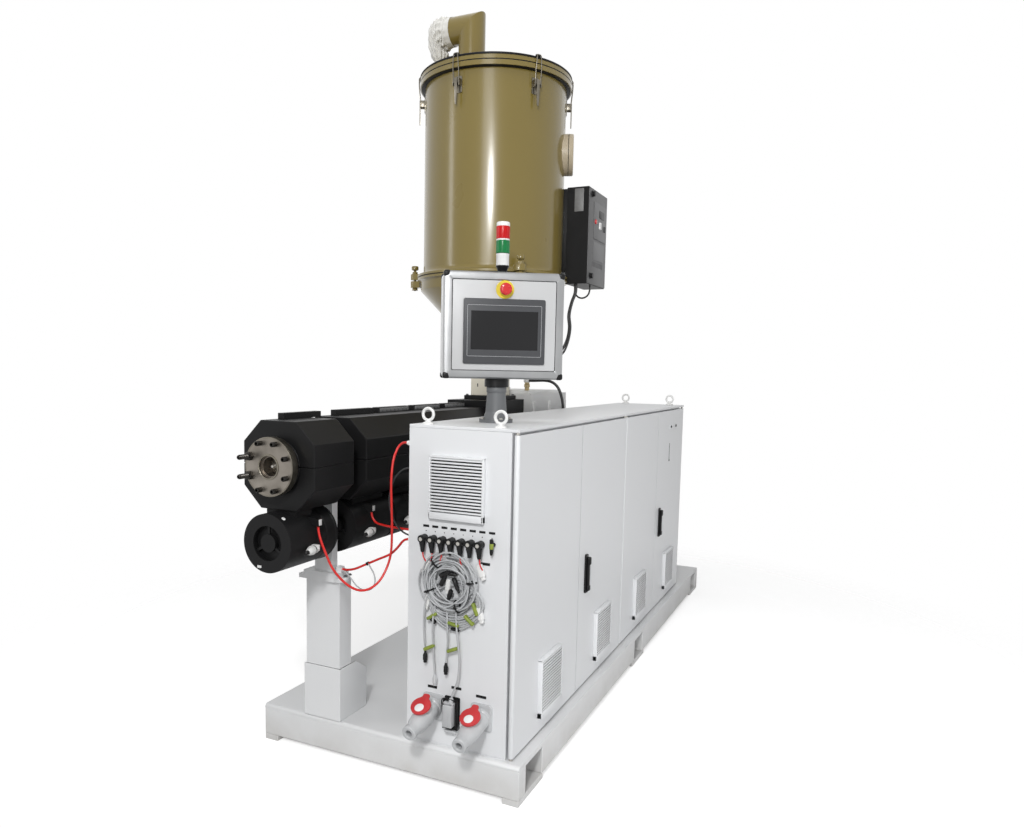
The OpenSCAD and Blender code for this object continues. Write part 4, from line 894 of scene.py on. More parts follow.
# %% Port cover
bm = bmesh.new()
PORT = HOP @ shift(0, 0, 2.352) @ spin_z(20) @ spin_y(90)
add_lathe(bm, [(.09, .3448), (.0936, .3448), (.0936, .3466), (.09, .3466)], PORT, 64, loop=True)
make_piece("port_seal", bm, gasket_rubber, ["inspection_port"])
bm = bmesh.new()
add_lathe(bm, [(0, .31), (.093, .31), (.093, .344), (.0918, .345), (.0918, .3466), (.093, .3476), (.093, .363),
               (.0905, .3672), (.086, .3684), (.082, .3676), (.081, .364), (.06, .3662), (.03, .3676), (0, .368)],
          PORT, 64)
make_piece("port_cover", bm, port_beige, ["inspection_port"])
print("lid, latches, joint and port")

# %% [markdown]
# ## Filter bag
# A cotton bag is tied over the exhaust's open end, where it stops dust. It is a cut of about 0.46 by 0.26 m sewn into
# a sleeve. The sleeve is lofted along a path that leaves the pipe and sags, with folds that change from ring to
# ring. A smoothing pass softens the folds.

# %% Filter bag
cotton = finish("cotton", (.66, .65, .61), (.8, .79, .76), (.78, .92), 1400, 30, .5, spec=.2)
path = [(-.45, 0.0, .064, 0, .0005), (-.465, 0.0, .0645, 0, .001), (-.478, 0.0, .064, 0, .0008),
        (-.485, 0.0, .07, 0, .005), (-.49, -.001, .073, 0, .0075), (-.494, -.002, .064, 2, .006),
        (-.499, -.003, .0745, 4, .008), (-.504, -.004, .064, 6, .0065), (-.509, -.006, .075, 8, .0085),
        (-.514, -.008, .0625, 11, .0065), (-.519, -.01, .0745, 14, .0085), (-.5235, -.013, .061, 18, .0062),
        (-.528, -.017, .072, 22, .008), (-.531, -.023, .059, 28, .0062), (-.5335, -.031, .067, 36, .0075),
        (-.534, -.042, .053, 46, .006), (-.5335, -.054, .059, 56, .007), (-.532, -.067, .0455, 64, .0056),
        (-.53, -.08, .051, 70, .0062), (-.528, -.093, .038, 76, .005), (-.5265, -.106, .041, 80, .0054),
        (-.525, -.118, .029, 84, .0042), (-.524, -.13, .019, 88, .0032), (-.5235, -.139, .0135, 90, .0018),
        (-.5235, -.147, .015, 90, .003), (-.524, -.157, .0225, 90, .006), (-.5245, -.167, .027, 90, .0085)]
AROUND, CUT = 72, .46
MOUTH_Y, MOUTH_Z = -.15, 2.927
loops = []
for i, (x, drop, r, lean, fold) in enumerate(path):
    t = math.radians(lean)
    across = Vector((math.sin(t), 0, -math.cos(t)))
    ring = []
    for k in range(AROUND):
        a = 2 * math.pi * k / AROUND
        rr = r + fold * (math.sin(13 * a + .5 * math.sin(2.1 * i)) + .55 * math.sin(7 * a + 1.3 * i)
                         + .3 * math.sin(19 * a - i))
        ring.append(Vector((x, MOUTH_Y, MOUTH_Z + drop)) + Vector((0, 1, 0)) * (rr * math.cos(a))
                    + across * (rr * math.sin(a)))
    loops.append(ring)
bm = bmesh.new()
add_loft(bm, loops, caps=(False, False))
bmesh.ops.smooth_vert(bm, verts=[v for v in bm.verts if v.co.x < -.485], factor=.22, use_axis_x=True, use_axis_y=True,
                      use_axis_z=True)
bag_area = sum(f.calc_area() for f in bm.faces)
bag = make_piece("filter_bag", bm, cotton, ["filter_cloth"], smooth=180)
soft = bag.modifiers.new("soften", "SUBSURF")
soft.levels = soft.render_levels = 1
print("bag area", round(bag_area, 4), "m2, cut", CUT, "by", round(bag_area / CUT, 3))

# %% [markdown]
# ## String of the bag
# Two turns of string hold the bag on the pipe, with two loose tails, and one turn closes its lower end. Wires drawn as
# curves follow the round pipe better than a ring of boxes would.

# %% Bag string
bm = bmesh.new()
for x in (-.4775, -.4805):
    add_wire(bm, [(x, MOUTH_Y + y, MOUTH_Z + z) for y, z in ring_points(.0662, 48)], .0016, loop=True)
for tail in ([(-.479, -.214, 2.915), (-.48, -.222, 2.89), (-.484, -.224, 2.85), (-.482, -.222, 2.815)],
             [(-.479, -.214, 2.918), (-.474, -.221, 2.895), (-.468, -.223, 2.865), (-.47, -.224, 2.84)]):
    add_wire(bm, smooth_route(tail, .006), .0014)
add_wire(bm, [(-.5235 + x, MOUTH_Y + y, 2.788) for x, y in ring_points(.016, 24)], .0018, loop=True)
make_piece("bag_string", bm, cotton, ["filter_cloth"])

# %% [markdown]
# ## Heater box
# The dryer's heater box is black sheet metal with a grey control cover. A saddle closes the gap between the box and the
# round shell. Both are bevelled blocks, because sheet metal shows little more than its folded edges.

# %% Heater box cover
heater_grey = finish("heater_grey", (.08, .08, .082), (.108, .108, .11), (.36, .46), 1100, 9, .1, spec=.3)
heater_plate = finish("heater_plate", (.125, .125, .128), (.16, .16, .163), (.36, .46), 1100, 14, .08, spec=.3)
COVER = shift(.195, .117, 1.976) @ FACE_X
bm = bmesh.new()
add_plate(bm, .268, .436, .005, .004, COVER, .0012)
make_piece("heater_cover", bm, heater_grey)
bm = bmesh.new()
add_box(bm, (-.0825, -.016, 1.815), (.0915, .194, 2.193), .003)
make_piece("heater_saddle", bm, black_satin)

# %% [markdown]
# ## Controls of the heater box
# On the cover sit two clamp knobs, a raised plate with a window, a red button and a white switch, and a row of slots
# below. They are thin plates and turned knobs, and the plate on the box's side stays bare.

# %% Heater controls
bm = bmesh.new()
add_plate(bm, .19, .17, .004, .002, COVER @ shift(.03, .08, .004), .0008)
add_plate(bm, .165, .085, .004, .0014, COVER @ shift(.018, -.06, .004), .0006)
make_piece("heater_controls", bm, heater_plate)
bm = bmesh.new()
for y, z in ((-.098, .192), (-.098, -.182)):
    add_lathe(bm, [(0, .004), (.015, .004), (.015, .006), (.0125, .008), (.0125, .017), (.011, .019), (0, .0195)],
              COVER @ shift(y, z, 0), 28)
for k in range(9):
    add_plate(bm, .0055, .024, .0024, .0008, COVER @ shift(-.07 + .0185 * k, -.122, .0036))
add_plate(bm, .072, .036, .003, .0012, COVER @ shift(.046, .118, .0058), .0004)
add_plate(bm, .02, .026, .003, .003, COVER @ shift(.096, .06, .0058), .0008)
make_piece("heater_knobs", bm, black_plastic)
bm = bmesh.new()
add_lathe(bm, [(0, .0055), (.011, .0055), (.011, .0085), (.009, .012), (0, .0128)], COVER @ shift(-.045, .074, 0), 28)
make_piece("heater_button", bm, red_gloss)
bm = bmesh.new()
add_plate(bm, .024, .032, .003, .006, COVER @ shift(.022, .064, .0055), .0012)
make_piece("heater_switch", bm, white_plastic)
bm = bmesh.new()
add_plate(bm, .044, .104, .003, .0012, shift(.149, -.02, 2.137) @ FACE_FRONT, .0004)
for x, z in ((.132, 2.094), (.166, 2.094), (.132, 2.18), (.166, 2.18)):
    add_lathe(bm, [(0, 0), (.0022, 0), (.0018, .0009), (0, .0011)], shift(x, -.0212, z) @ FACE_FRONT, 14)
make_piece("heater_nameplate", bm, strip_grey)
print("heater box dressed")

# %% [markdown]
# ## Die end
# The die bolts on studs round the flange. Two long studs keep their threads, the others are socket screws.
# A thread seen from this far is a stack of grooves, so a zigzag profile spun round the stud is enough.

# %% Flange studs
AXIS_Z, DIE_Y, STUD_R = 1.035, -1.683, .078
DIE = aim((AXIS_X, DIE_Y, AXIS_Z), (0, -1, 0))
bm = bmesh.new()
for i in range(8):
    a = math.radians(22.5 + 45 * i)
    spot = Vector((AXIS_X + STUD_R * math.cos(a), DIE_Y, AXIS_Z + STUD_R * math.sin(a)))
    long_one = math.cos(a) < -.8
    out = .052 if long_one else .02
    place = aim(spot, (0, -1, 0))
    if long_one:
        ridges = []
        for k in range(22):
            ridges += [(.008, .004 + .002 * k), (.0069, .005 + .002 * k)]
        add_lathe(bm, [(0, 0), (.008, 0)] + ridges + [(.007, out - .002), (.005, out), (.0042, out),
                                                      (.0042, out - .008), (0, out - .008)], place, 24)
        add_prism(bm, ring_points(.0145, 6), .0005, .0125, place, .0012)
    else:
        add_lathe(bm, [(0, 0), (.0078, 0), (.008, .001), (.008, out - .0015), (.007, out), (.0046, out),
                       (.0046, out - .009), (0, out - .009)], place, 28)
make_piece("die_studs", bm, dark_steel, ["flange_studs"])
bm = bmesh.new()
add_lathe(bm, [(.035, -.0002), (.0405, -.0002), (.04, .0018), (.036, .0022), (.035, .0015)], DIE, 64, loop=True)
add_lathe(bm, [(.0885, -.028), (.0924, -.0275), (.0926, -.002), (.0905, .0003), (.0885, .0003)], DIE, 80, loop=True)
make_piece("flange_rims", bm, dull_steel)

# %% [markdown]
# ## Bolts and the gate's slot
# Hexagon bolts hold the post head and the throat plate. One helper makes washer and head, so only their places are
# listed. The gate's slot is a thin dark plate that paints the shade inside it, and two small discs of the same dark
# finish are its screws.

# %% Bolts of the post head, the throat plate and the gate
bm = bmesh.new()
for x, y in ((-.327, -1.398), (-.327, -1.364), (-.168, -1.394), (-.168, -1.368)):
    add_bolt(bm, (x, y, .635), (0, 0, 1), .005)
for x in (-.33, -.164):
    for y in (-.188, -.022):
        add_bolt(bm, (x, y, 1.224), (0, 0, 1), .006)
make_piece("frame_bolts", bm, cast_grey)
# The slot plate is painted shade; the two screws share its dark finish.
bm = bmesh.new()
add_plate(bm, .005, .016, .002, .001, shift(-.281, -.1757, 1.273) @ FACE_FRONT)
for x in (-.239, -.2):
    add_lathe(bm, [(0, 0), (.0032, 0), (.003, .001), (0, .0012)], shift(x, -.1757, 1.27) @ FACE_FRONT, 16)
make_piece("gate_slot_shade", bm, deep_shade)
print("die end and bolts")

# %% [markdown]
# ## Heater terminals
# The bars on the covers carry the heaters' terminals: a pale strip with screws along the cabinet side. A thin bevelled
# bar and rows of turned screw heads are enough at this distance.

# %% Terminal strips
bm, screws = bmesh.new(), bmesh.new()
for i in range(1, 4):
    y0 = -1.36 + .26 * i + .066
    add_box(bm, (-.2802, y0 + .014, 1.1765), (-.278, y0 + .222, 1.1925), .0008)
    for k in range(7):
        add_lathe(screws, [(0, 0), (.0045, 0), (.0045, .0015), (.003, .0028), (0, .003)],
                  shift(-.2782, y0 + .03 + .029 * k, 1.184) @ spin_y(90), 14)
make_piece("terminal_strips", bm, strip_grey)
make_piece("terminal_screws", screws, cast_grey)

# %% [markdown]
# ## Blower glands
# Each blower has a pale cable gland low on its drum and a white plug where its red lead starts. A gland is a hexagon,
# a ribbed nut and a dark tip on one slanted axis, and the same shapes serve three blowers.

# %% Blower glands and plugs
bm = bmesh.new()
tips = bmesh.new()
for y in (-1.588, -1.272, -1.012):
    at = aim((-.1405, y, .776), (.05, -.99, -.13))
    add_prism(bm, ring_points(.0142, 6), 0.0, .009, at, .001)
    add_lathe(bm, [(0, .01), (.0112, .01), (.0112, .014), (.0136, .016), (.0136, .029), (.0124, .034), (.0096, .04),
                   (.0072, .042), (.0072, .038), (0, .038)], at, 28)
    for k in range(12):
        add_box(bm, (.0128, -.0011, .0165), (.0146, .0011, .0285), .0004, at @ spin_z(30 * k), 1)
    add_lathe(tips, [(0, .006), (.0118, .006), (.0118, .012), (0, .012)], at, 24)
    add_lathe(tips, [(0, .036), (.006, .036), (.006, .05), (.0064, .051), (.0064, .056), (.0045, .058), (0, .058)],
              at, 24)
    add_box(bm, (-.158, y - .004, .766), (-.133, y + .012, .786), .002)
make_piece("gland_tips", tips, black_plastic)
for y in (-1.567, -1.267, -1.007):
    add_box(bm, (-.164, y - .0085, .844), (-.1385, y + .0085, .865), .0022)
make_piece("blower_glands", bm, gland_white)
bm = bmesh.new()
add_plate(bm, .016, .008, .0015, .0006, shift(-.278, -1.691, .722) @ FACE_FRONT)
add_lathe(bm, [(0, 0), (.0065, 0), (.006, .002), (0, .0026)], aim((-.1985, -1.672, .8768), (.52, 0, .85)), 20)
make_piece("drum_tags", bm, white_plastic)

# %% [markdown]
# ## Rear shell of the front blower
# The front drum is longer than the others. A turned shell carries it on behind the CAD drum, with a bead near its
# end, and has the drum's own finish so that no seam shows.

# %% Rear shell of the front blower
bm = bmesh.new()
add_lathe(bm, [(0, 0), (.092, 0), (.092, .002), (.093, .003), (.093, .047), (.0944, .048), (.0944, .0545),
               (.093, .0555), (.093, .0585), (.0915, .06), (0, .06)], aim((AXIS_X, -1.5135, .798), (0, 1, 0)), 64)
make_piece("blower_rear_shell", bm, black_satin)

# %% [markdown]
# ## Tape on the red lead
# A turn of black tape holds the thin grey lead. It is a short ring, aimed along the red lead at that place.

# %% Tape where the post lead meets the red one
bm = bmesh.new()
add_lathe(bm, [(.004, 0), (.0056, 0), (.006, .001), (.006, .009), (.0056, .01), (.004, .01)],
          aim((-.0885, -1.3838, .6868), (.04, .007, .022)), 24, loop=True)
make_piece("lead_tape", bm, black_plastic)

# %% [markdown]
# ## Black loop
# A black lead leaves the cabinet's back and goes in again lower down. A turned gland marks each end.

# %% Black loop beside the cabinet
black_loop = [(.075, -1.372, 1.022), (.058, -1.372, 1.021), (.04, -1.376, 1.012), (.022, -1.382, .99),
              (.01, -1.39, .955), (.006, -1.394, .915), (.01, -1.388, .872), (.022, -1.376, .832),
              (.04, -1.362, .806), (.058, -1.352, .796), (.075, -1.35, .795)]
make_lead("black_loop", smooth_route(black_loop), .006, black_sheath, [])
bm = bmesh.new()
for spot in ((.0745, -1.372, 1.022), (.0745, -1.35, .795)):
    add_lathe(bm, [(0, -.01), (.008, -.01), (.008, -.004), (.0062, 0), (.0062, .002), (0, .002)],
              aim(spot, (-1, 0, 0)), 20)
make_piece("loop_glands", bm, white_plastic)
print("terminals, glands and loop")

# %% [markdown]
# ## Plugs on the front panel
# Seven angled plugs sit in a row. Each has a round head that faces the front, with a bright cap, and a boot that
# points down. All are turned profiles on two axes. Thin red pigtails leave some boots for the coil.

# %% Angled plugs
FRONT_Y, PLUG_X, PLUG_PITCH = -1.398, .145, .0335
bm, caps = bmesh.new(), bmesh.new()
for i in range(7):
    x = PLUG_X + PLUG_PITCH * i
    head = shift(x, FRONT_Y, .806) @ FACE_FRONT
    add_lathe(bm, [(0, 0), (.0125, 0), (.0125, .004), (.0105, .005), (.0105, .009), (.0125, .01), (.013, .018),
                   (.0125, .027), (.01, .03), (.0072, .0305), (.0072, .0285), (0, .0285)], head, 28)
    add_lathe(caps, [(0, .0285), (.0062, .0285), (.0066, .0295), (.006, .0305), (.003, .031), (0, .0311)], head, 24)
    boot = aim((x + .001, -1.417, .802), (.1, -.1, -1))
    add_lathe(bm, [(0, 0), (.01, 0), (.0105, .008), (.009, .016), (.0074, .024), (.0064, .036), (.005, .038),
                   (0, .038)], boot, 24)
    for k in range(4):
        add_lathe(bm, [(.006, .02 + .004 * k), (.0086 - .0006 * k, .0204 + .004 * k),
                       (.0086 - .0006 * k, .022 + .004 * k), (.006, .0224 + .004 * k)], boot, 24, loop=True)
make_piece("angled_plugs", bm, black_plastic, ["panel_plugs"])
make_piece("plug_caps", caps, bright_steel, ["panel_plugs"])
for i, sway in ((0, .014), (1, -.004), (2, -.006), (4, .008), (6, .01)):
    x = PLUG_X + PLUG_PITCH * i + .0055
    line = smooth_route([(x, -1.4205, .766), (x + .0006, -1.4212, .759), (x + .2 * sway, -1.4225, .75),
                         (x + .6 * sway, -1.4215, .74), (x + sway, -1.418, .731)], .004)
    make_lead("pigtail_%d" % (i + 1), line, .0042, red_sheath, [])

# %% [markdown]
# ## Glands of the red leads
# Where the red leads enter the cabinet, a small turned gland covers the end of each curve.

# %% Lead glands on the cabinet's back
bm = bmesh.new()
for y, z in ((-1.396, 1.107), (-1.382, .79), (-1.29, .8)):
    add_lathe(bm, [(0, 0), (.008, 0), (.008, .004), (.0066, .005), (.0066, .0075), (0, .0075)],
              aim((.083, y, z), (-1, 0, 0)), 20)
make_piece("red_glands", bm, white_plastic, ["panel_plugs"])

# %% [markdown]
# ## Earth plug
# The last fitting of the row is a straight plug with a green and yellow band. The band's blotchy finish stands in for
# the two colours, which are too small to be modelled apart.

# %% Earth plug
EARTH = shift(.388, -1.414, .81)
bm, tip = bmesh.new(), bmesh.new()
add_lathe(bm, [(0, 0), (.0072, 0), (.0072, .01), (.006, .013), (0, .013)], shift(.388, FRONT_Y, .81) @ FACE_FRONT, 20)
add_lathe(bm, [(0, .006), (.0058, .006), (.0062, .009), (.0058, .018), (.004, .02), (0, .02)], EARTH, 24)
add_lathe(bm, [(0, .01), (.0058, .01), (.0054, .022), (.0036, .03), (0, .03)], EARTH @ spin_x(180), 24)
make_piece("earth_plug_body", bm, black_plastic, ["panel_plugs"])
add_lathe(tip, [(0, -.0105), (.0064, -.0105), (.0066, -.004), (.0066, .005), (.0062, .0065), (0, .0065)], EARTH, 24)
make_piece("earth_plug_band", tip, green_sleeve, ["panel_plugs"])

# %% [markdown]
# ## Bare plates
# Small black plates sit above the plugs and the inlets. Thin plates with a bevel catch a line of light, which a
# painted patch would not.

# %% Bare plates
bm = bmesh.new()
for i in range(8):
    add_plate(bm, .0215, .0075, .001, .0009, shift(.149 + .0333 * i, FRONT_Y, .845) @ FACE_FRONT, .0003)
    add_lathe(bm, [(0, 0), (.0018, 0), (.0015, .0007), (0, .0009)],
              shift(.149 + .0333 * i, FRONT_Y, .829) @ FACE_FRONT, 12)
for x, z, w in ((.179, .318, .034), (.267, .33, .036), (.355, .319, .036), (.361, .746, .032)):
    add_plate(bm, w, .0088, .001, .0009, shift(x, FRONT_Y, z) @ FACE_FRONT, .0003)
make_piece("label_plates", bm, black_plastic)

# %% [markdown]
# ## Hooded connector
# Between the inlets sits a rectangular connector with a locking wire. Its frame is built from four bars, so that the
# insert shows inside it.

# %% Hooded connector
HOOD = shift(.2535, FRONT_Y, .2475) @ FACE_FRONT
bm, insert = bmesh.new(), bmesh.new()
add_plate(bm, .055, .105, .005, .004, HOOD, .001)
for x in (-.024, .019):
    add_box(bm, (x, -.048, .0035), (x + .005, .048, .02), .0012, HOOD)
for y in (-.048, .043):
    add_box(bm, (-.024, y, .0035), (.024, y + .005, .02), .0012, HOOD)
add_wire(bm, smooth_route([(-.0265, -.04, .012), (-.0275, .01, .016), (-.027, .04, .024), (-.018, .0535, .03),
                           (0, .056, .031), (.018, .0535, .03), (.027, .04, .024), (.0275, .01, .016),
                           (.0265, -.04, .012)], .006), .0018, HOOD)
for x in (-.0275, .0235):
    add_box(bm, (x, -.051, .004), (x + .004, -.033, .018), .0012, HOOD)
make_piece("hood_frame", bm, black_plastic, ["panel_plugs"])
add_box(insert, (-.017, -.037, .004), (.017, .035, .039), .0035, HOOD, 3)
add_box(insert, (-.012, -.033, .0385), (.005, .031, .04), .001, HOOD)
add_box(insert, (-.018, .036, .004), (.018, .0425, .03), .0015, HOOD)
add_box(insert, (-.019, -.064, .006), (.02, -.0525, .02), .004, HOOD, 3)
add_lathe(insert, [(0, 0), (.0075, 0), (.0075, .014), (.0055, .018), (0, .018)],
          HOOD @ shift(.0085, .04, .026) @ spin_x(-90), 20)
make_piece("hood_insert", insert, grey_plastic, ["panel_plugs"])
print("front panel fittings made")

# %% [markdown]
# ## Power inlets
# Two large round connectors bend down from square flanges. Their red lids stand open, each on a hinge tab, with a pale
# dot in the middle. A spun profile gives the body its collars and its open nozzle, and a dark disc at the bottom of
# each bore paints its shade.

# %% Power inlets and lids
LID_R = .033
bm, lids, dots, nozzle_shade = bmesh.new(), bmesh.new(), bmesh.new(), bmesh.new()
for x in (.185, .359):
    base = shift(x, FRONT_Y, .255)
    add_plate(bm, .074, .086, .01, .008, base @ FACE_FRONT, .002)
    for sx in (-.028, .028):
        for sz in (-.034, .034):
            screw_at = base @ shift(sx, -.008, sz) @ FACE_FRONT
            add_lathe(bm, [(0, 0), (.0045, 0), (.0042, .0015), (0, .0022)], screw_at, 16)
    axis = base @ shift(0, -.006, 0) @ spin_x(101)
    add_lathe(bm, [(0, 0), (.0345, 0), (.0345, .01), (.032, .013), (.032, .052), (.0335, .054), (.0335, .064),
                   (.0315, .067), (.0315, .09), (.029, .104), (.0235, .124), (.0225, .13), (.0225, .146),
                   (.0235, .147), (.0235, .152), (.0215, .1545), (.013, .1545), (.011, .152), (.011, .128),
                   (0, .128)], axis, 48)
    for k in range(16):
        add_box(bm, (.0225, -.0014, .131), (.024, .0014, .145), .0005, axis @ spin_z(22.5 * k), 1)
    # A dark disc on the floor of the bore paints the shade inside the nozzle.
    add_lathe(nozzle_shade, [(0, .129), (.0108, .129), (.0108, .13), (0, .13)], axis, 28)
    lid = shift(x, -1.48, .284) @ spin_x(28)
    add_box(bm, (-.011, .033, -.032), (.011, .047, -.0005), .003, lid)
    rim = [(LID_R * math.sin(math.radians(t)), LID_R * -math.cos(math.radians(t))) for t in range(-150, 151, 10)]
    outline = rim + [(.0115, .034), (.0115, .041), (.009, .0455), (.004, .047), (-.004, .047), (-.009, .0455),
                     (-.0115, .041), (-.0115, .034)]
    add_prism(lids, outline, 0, .007, lid, .002)
    dot = lid @ shift(0, -.01, 0)
    add_lathe(dots, [(0, .0068), (.015, .0068), (.015, .0076), (.0135, .0084), (0, .0088)], dot, 36)
make_piece("inlet_bodies", bm, grey_plastic, ["power_inlets"])
make_piece("inlet_nozzle_shade", nozzle_shade, deep_shade, ["power_inlets"])
make_piece("red_lids", lids, red_lid, ["inlet_lids"])
make_piece("lid_dots", dots, white_plastic, ["inlet_lids"])

# %% [markdown]
# ## Ties and straps of the coil
# Black ties hold the coil's turns together, and olive straps gather the leads below it. A tie is two loops of wire with
# a small lock, turned to its place on the coil.

# %% Coil ties and straps
TIE_R = .078
bm = bmesh.new()
for deg in (8, 130, 205, 292):
    a = math.radians(deg)
    mid = Vector((coil_mid.x + TIE_R * math.cos(a), coil_mid.y, coil_mid.z + TIE_R * math.sin(a)))
    radial = Vector((math.cos(a), 0, math.sin(a)))
    for lift_off in (-.0014, .0014):
        around = [mid + radial * (.0195 * p) + Vector((0, -.0165 * q, 0))
                  + Vector((-math.sin(a), 0, math.cos(a))) * lift_off for p, q in ring_points(1, 28)]
        add_wire(bm, around, .0017, loop=True)
    head = mid + Vector((0, -.0175, 0))
    add_box(bm, (-.0042, -.003, -.0042), (.0042, .002, .0042), .001, shift(*head) @ spin_y(-deg))
for x, z, tilt in ((.267, .527, 4), (.184, .545, 35)):
    add_box(bm, (-.015, -.0105, -.005), (.015, .002, .005), .0035, shift(x, -1.408, z) @ spin_y(tilt), 3)
make_piece("coil_ties", bm, black_plastic, ["cable_coil"])
bm = bmesh.new()
for x, z, tilt in ((.176, .455, -28), (.262, .462, -24), (.262, .545, 10), (.186, .56, -35), (.318, .566, 40),
                   (.338, .604, 66)):
    add_box(bm, (-.021, -.009, -.0055), (.021, .007, .0055), .0045, shift(x, -1.417, z) @ spin_y(tilt), 3)
make_piece("olive_straps", bm, green_sleeve, ["grey_leads"])

# %% [markdown]
# ## Spare plugs in the coil
# A few black plugs are tucked into the coil's middle and pale ones into its edge. Each kind is one shape, repeated at
# places and tilts that look thrown together.

# %% Spare plugs
bm, pale_plugs = bmesh.new(), bmesh.new()
spare_plug = [(0, 0), (.005, 0), (.0078, .004), (.0078, .024), (.0066, .026), (.0066, .034), (.005, .04),
              (.0032, .052), (0, .052)]
for dx, dz, tilt, turn_y in ((-.03, .02, 60, 20), (-.012, .034, 100, -10), (.018, .02, 150, 12), (-.028, -.01, 30, 6),
                             (.01, -.02, 200, -8)):
    at = shift(coil_mid.x + dx, coil_mid.y - .006, coil_mid.z + dz)
    add_lathe(bm, spare_plug, at @ spin_y(tilt) @ spin_x(turn_y), 20)
make_piece("spare_plugs", bm, black_plastic, ["cable_coil"])
for x, z, tilt in ((.166, .606, 12), (.352, .59, -14), (.158, .722, 30), (.352, .726, -20), (.24, .668, 5)):
    at = shift(x, -1.41, z) @ spin_y(tilt)
    add_box(pale_plugs, (-.0085, -.0085, -.02), (.0085, .0085, .02), .003, at, 3)
    add_box(pale_plugs, (-.006, -.006, -.03), (.006, .006, -.019), .002, at)
make_piece("pale_plugs", pale_plugs, white_plastic, ["cable_coil"])

# %% [markdown]
# ## Gearbox cap and motor guard
# The parts behind the cabinet are plainer. The gearbox has a brass breather under its hose and a cap with two holes,
# whose shade is painted as two dark knobs, and the motor's cowl ends in a guard of rings, each a circle spun round the
# motor's axis.

# %% Gearbox and motor
bm = bmesh.new()
add_lathe(bm, [(0, 1.231), (.015, 1.231), (.015, 1.236), (.0118, 1.24), (.0118, 1.262), (.015, 1.264), (.015, 1.276),
               (.0118, 1.28), (.0118, 1.287), (0, 1.287)], shift(-.162, .15, 0), 24)
make_piece("breather", bm, brass)
# Two dark knobs on the cap paint the shade of its two holes.
bm = bmesh.new()
for dx in (-.018, .018):
    add_lathe(bm, [(0, 0), (.009, 0), (.009, .004), (.006, .006), (0, .006)], shift(-.287 + dx, .12, 1.2595), 20)
make_piece("cap_hole_shade", bm, deep_shade)
bm = bmesh.new()
hub = Vector((AXIS_X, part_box("drive_motor")[1][1] + .001, .945))
for r in (.03, .055, .08, .105, .13):
    add_lathe(bm, [(r + dr, dz) for dr, dz in ring_points(.003, 8)], shift(*hub) @ FACE_FRONT, 48, loop=True)
for k in range(3):
    spoke = Vector((.14 * math.cos(k * math.pi / 3), 0, .14 * math.sin(k * math.pi / 3)))
    add_rod(bm, hub + spoke, hub - spoke, .003, 10)
make_piece("cowl_guard", bm, cast_grey)
print("drive dressed")

# %% [markdown]
# ## White world
# The photograph is a cut-out on white. A white world bright enough for that would wash out every shadow, so the Light
# Path node shows full white to the camera and to mirrors, and lets only a quarter of it light the machine.

# %% White world
WHITE = (1.0, 1.0, 1.0, 1.0)
AMBIENT = .24
scene.world = bpy.data.worlds.new("white_room")
scene.world.use_nodes = True
tree = scene.world.node_tree
tree.nodes.clear()
ambient = add_node(tree, "Background", {"Color": WHITE, "Strength": AMBIENT})
backdrop = add_node(tree, "Background", {"Color": WHITE, "Strength": 1.0})
paths = add_node(tree, "LightPath").outputs
seen = paths["Is Camera Ray"]
for ray in ("Is Glossy Ray", "Is Transmission Ray"):
    seen = add_node(tree, "Math", {0: seen, 1: paths[ray]}, operation="MAXIMUM").outputs[0]
choose = add_node(tree, "MixShader", {0: seen, 1: ambient.outputs[0], 2: backdrop.outputs[0]})
add_node(tree, "OutputWorld", {"Surface": choose.outputs[0]})
print("world lights with", AMBIENT)

# %% [markdown]
# ## Lamps
# A small lamp above the camera throws the crisp shadows, a tall soft light beside it makes the bright stripe on the
# hopper, a weaker one on the left makes the second stripe, and two more fill in. Those two don't show in mirrors,
# because their shapes would lie on the doors and the roof as pale patches.

# %% Lamps
def soft_light(name, spot, target, width, height, watts, mirrored=True):
    data = bpy.data.lights.new(name, "AREA")
    data.shape = "RECTANGLE"
    data.size, data.size_y, data.energy = width, height, watts
    obj = bpy.data.objects.new(name, data)
    obj.visible_glossy = mirrored
    turn = (Vector(target) - Vector(spot)).to_track_quat("-Z", "Y").to_matrix().to_4x4()
    obj.matrix_world = Matrix.Translation(spot) @ turn
    scene.collection.objects.link(obj)


soft_light("flash", (1.35, -4.5, 3.1), (.1, -.9, .8), .4, .4, 80)
soft_light("stripe_light", (.95, -5.0, 2.9), (AXIS_X, HOPPER_Y, 2.0), 1.3, 3.6, 48)
soft_light("left_light", (-3.3, -3.1, 2.5), (AXIS_X, HOPPER_Y, 1.7), .5, 2.6, 24)
soft_light("right_light", (3.6, -1.9, 1.0), (DOOR_X, -.2, .6), 2.4, 1.6, 44, False)
soft_light("top_light", (.2, -.8, 5.0), (0.0, -.2, 0.0), 3.5, 3.5, 56, False)
print("lights:", len(bpy.data.lights))

# %% [markdown]
# ## Floor
# The floor is there for the soft shadow under the skid. It is a pale disc that glows a little for the camera and fades
# out further off, so that only the shadow shows against the white world.

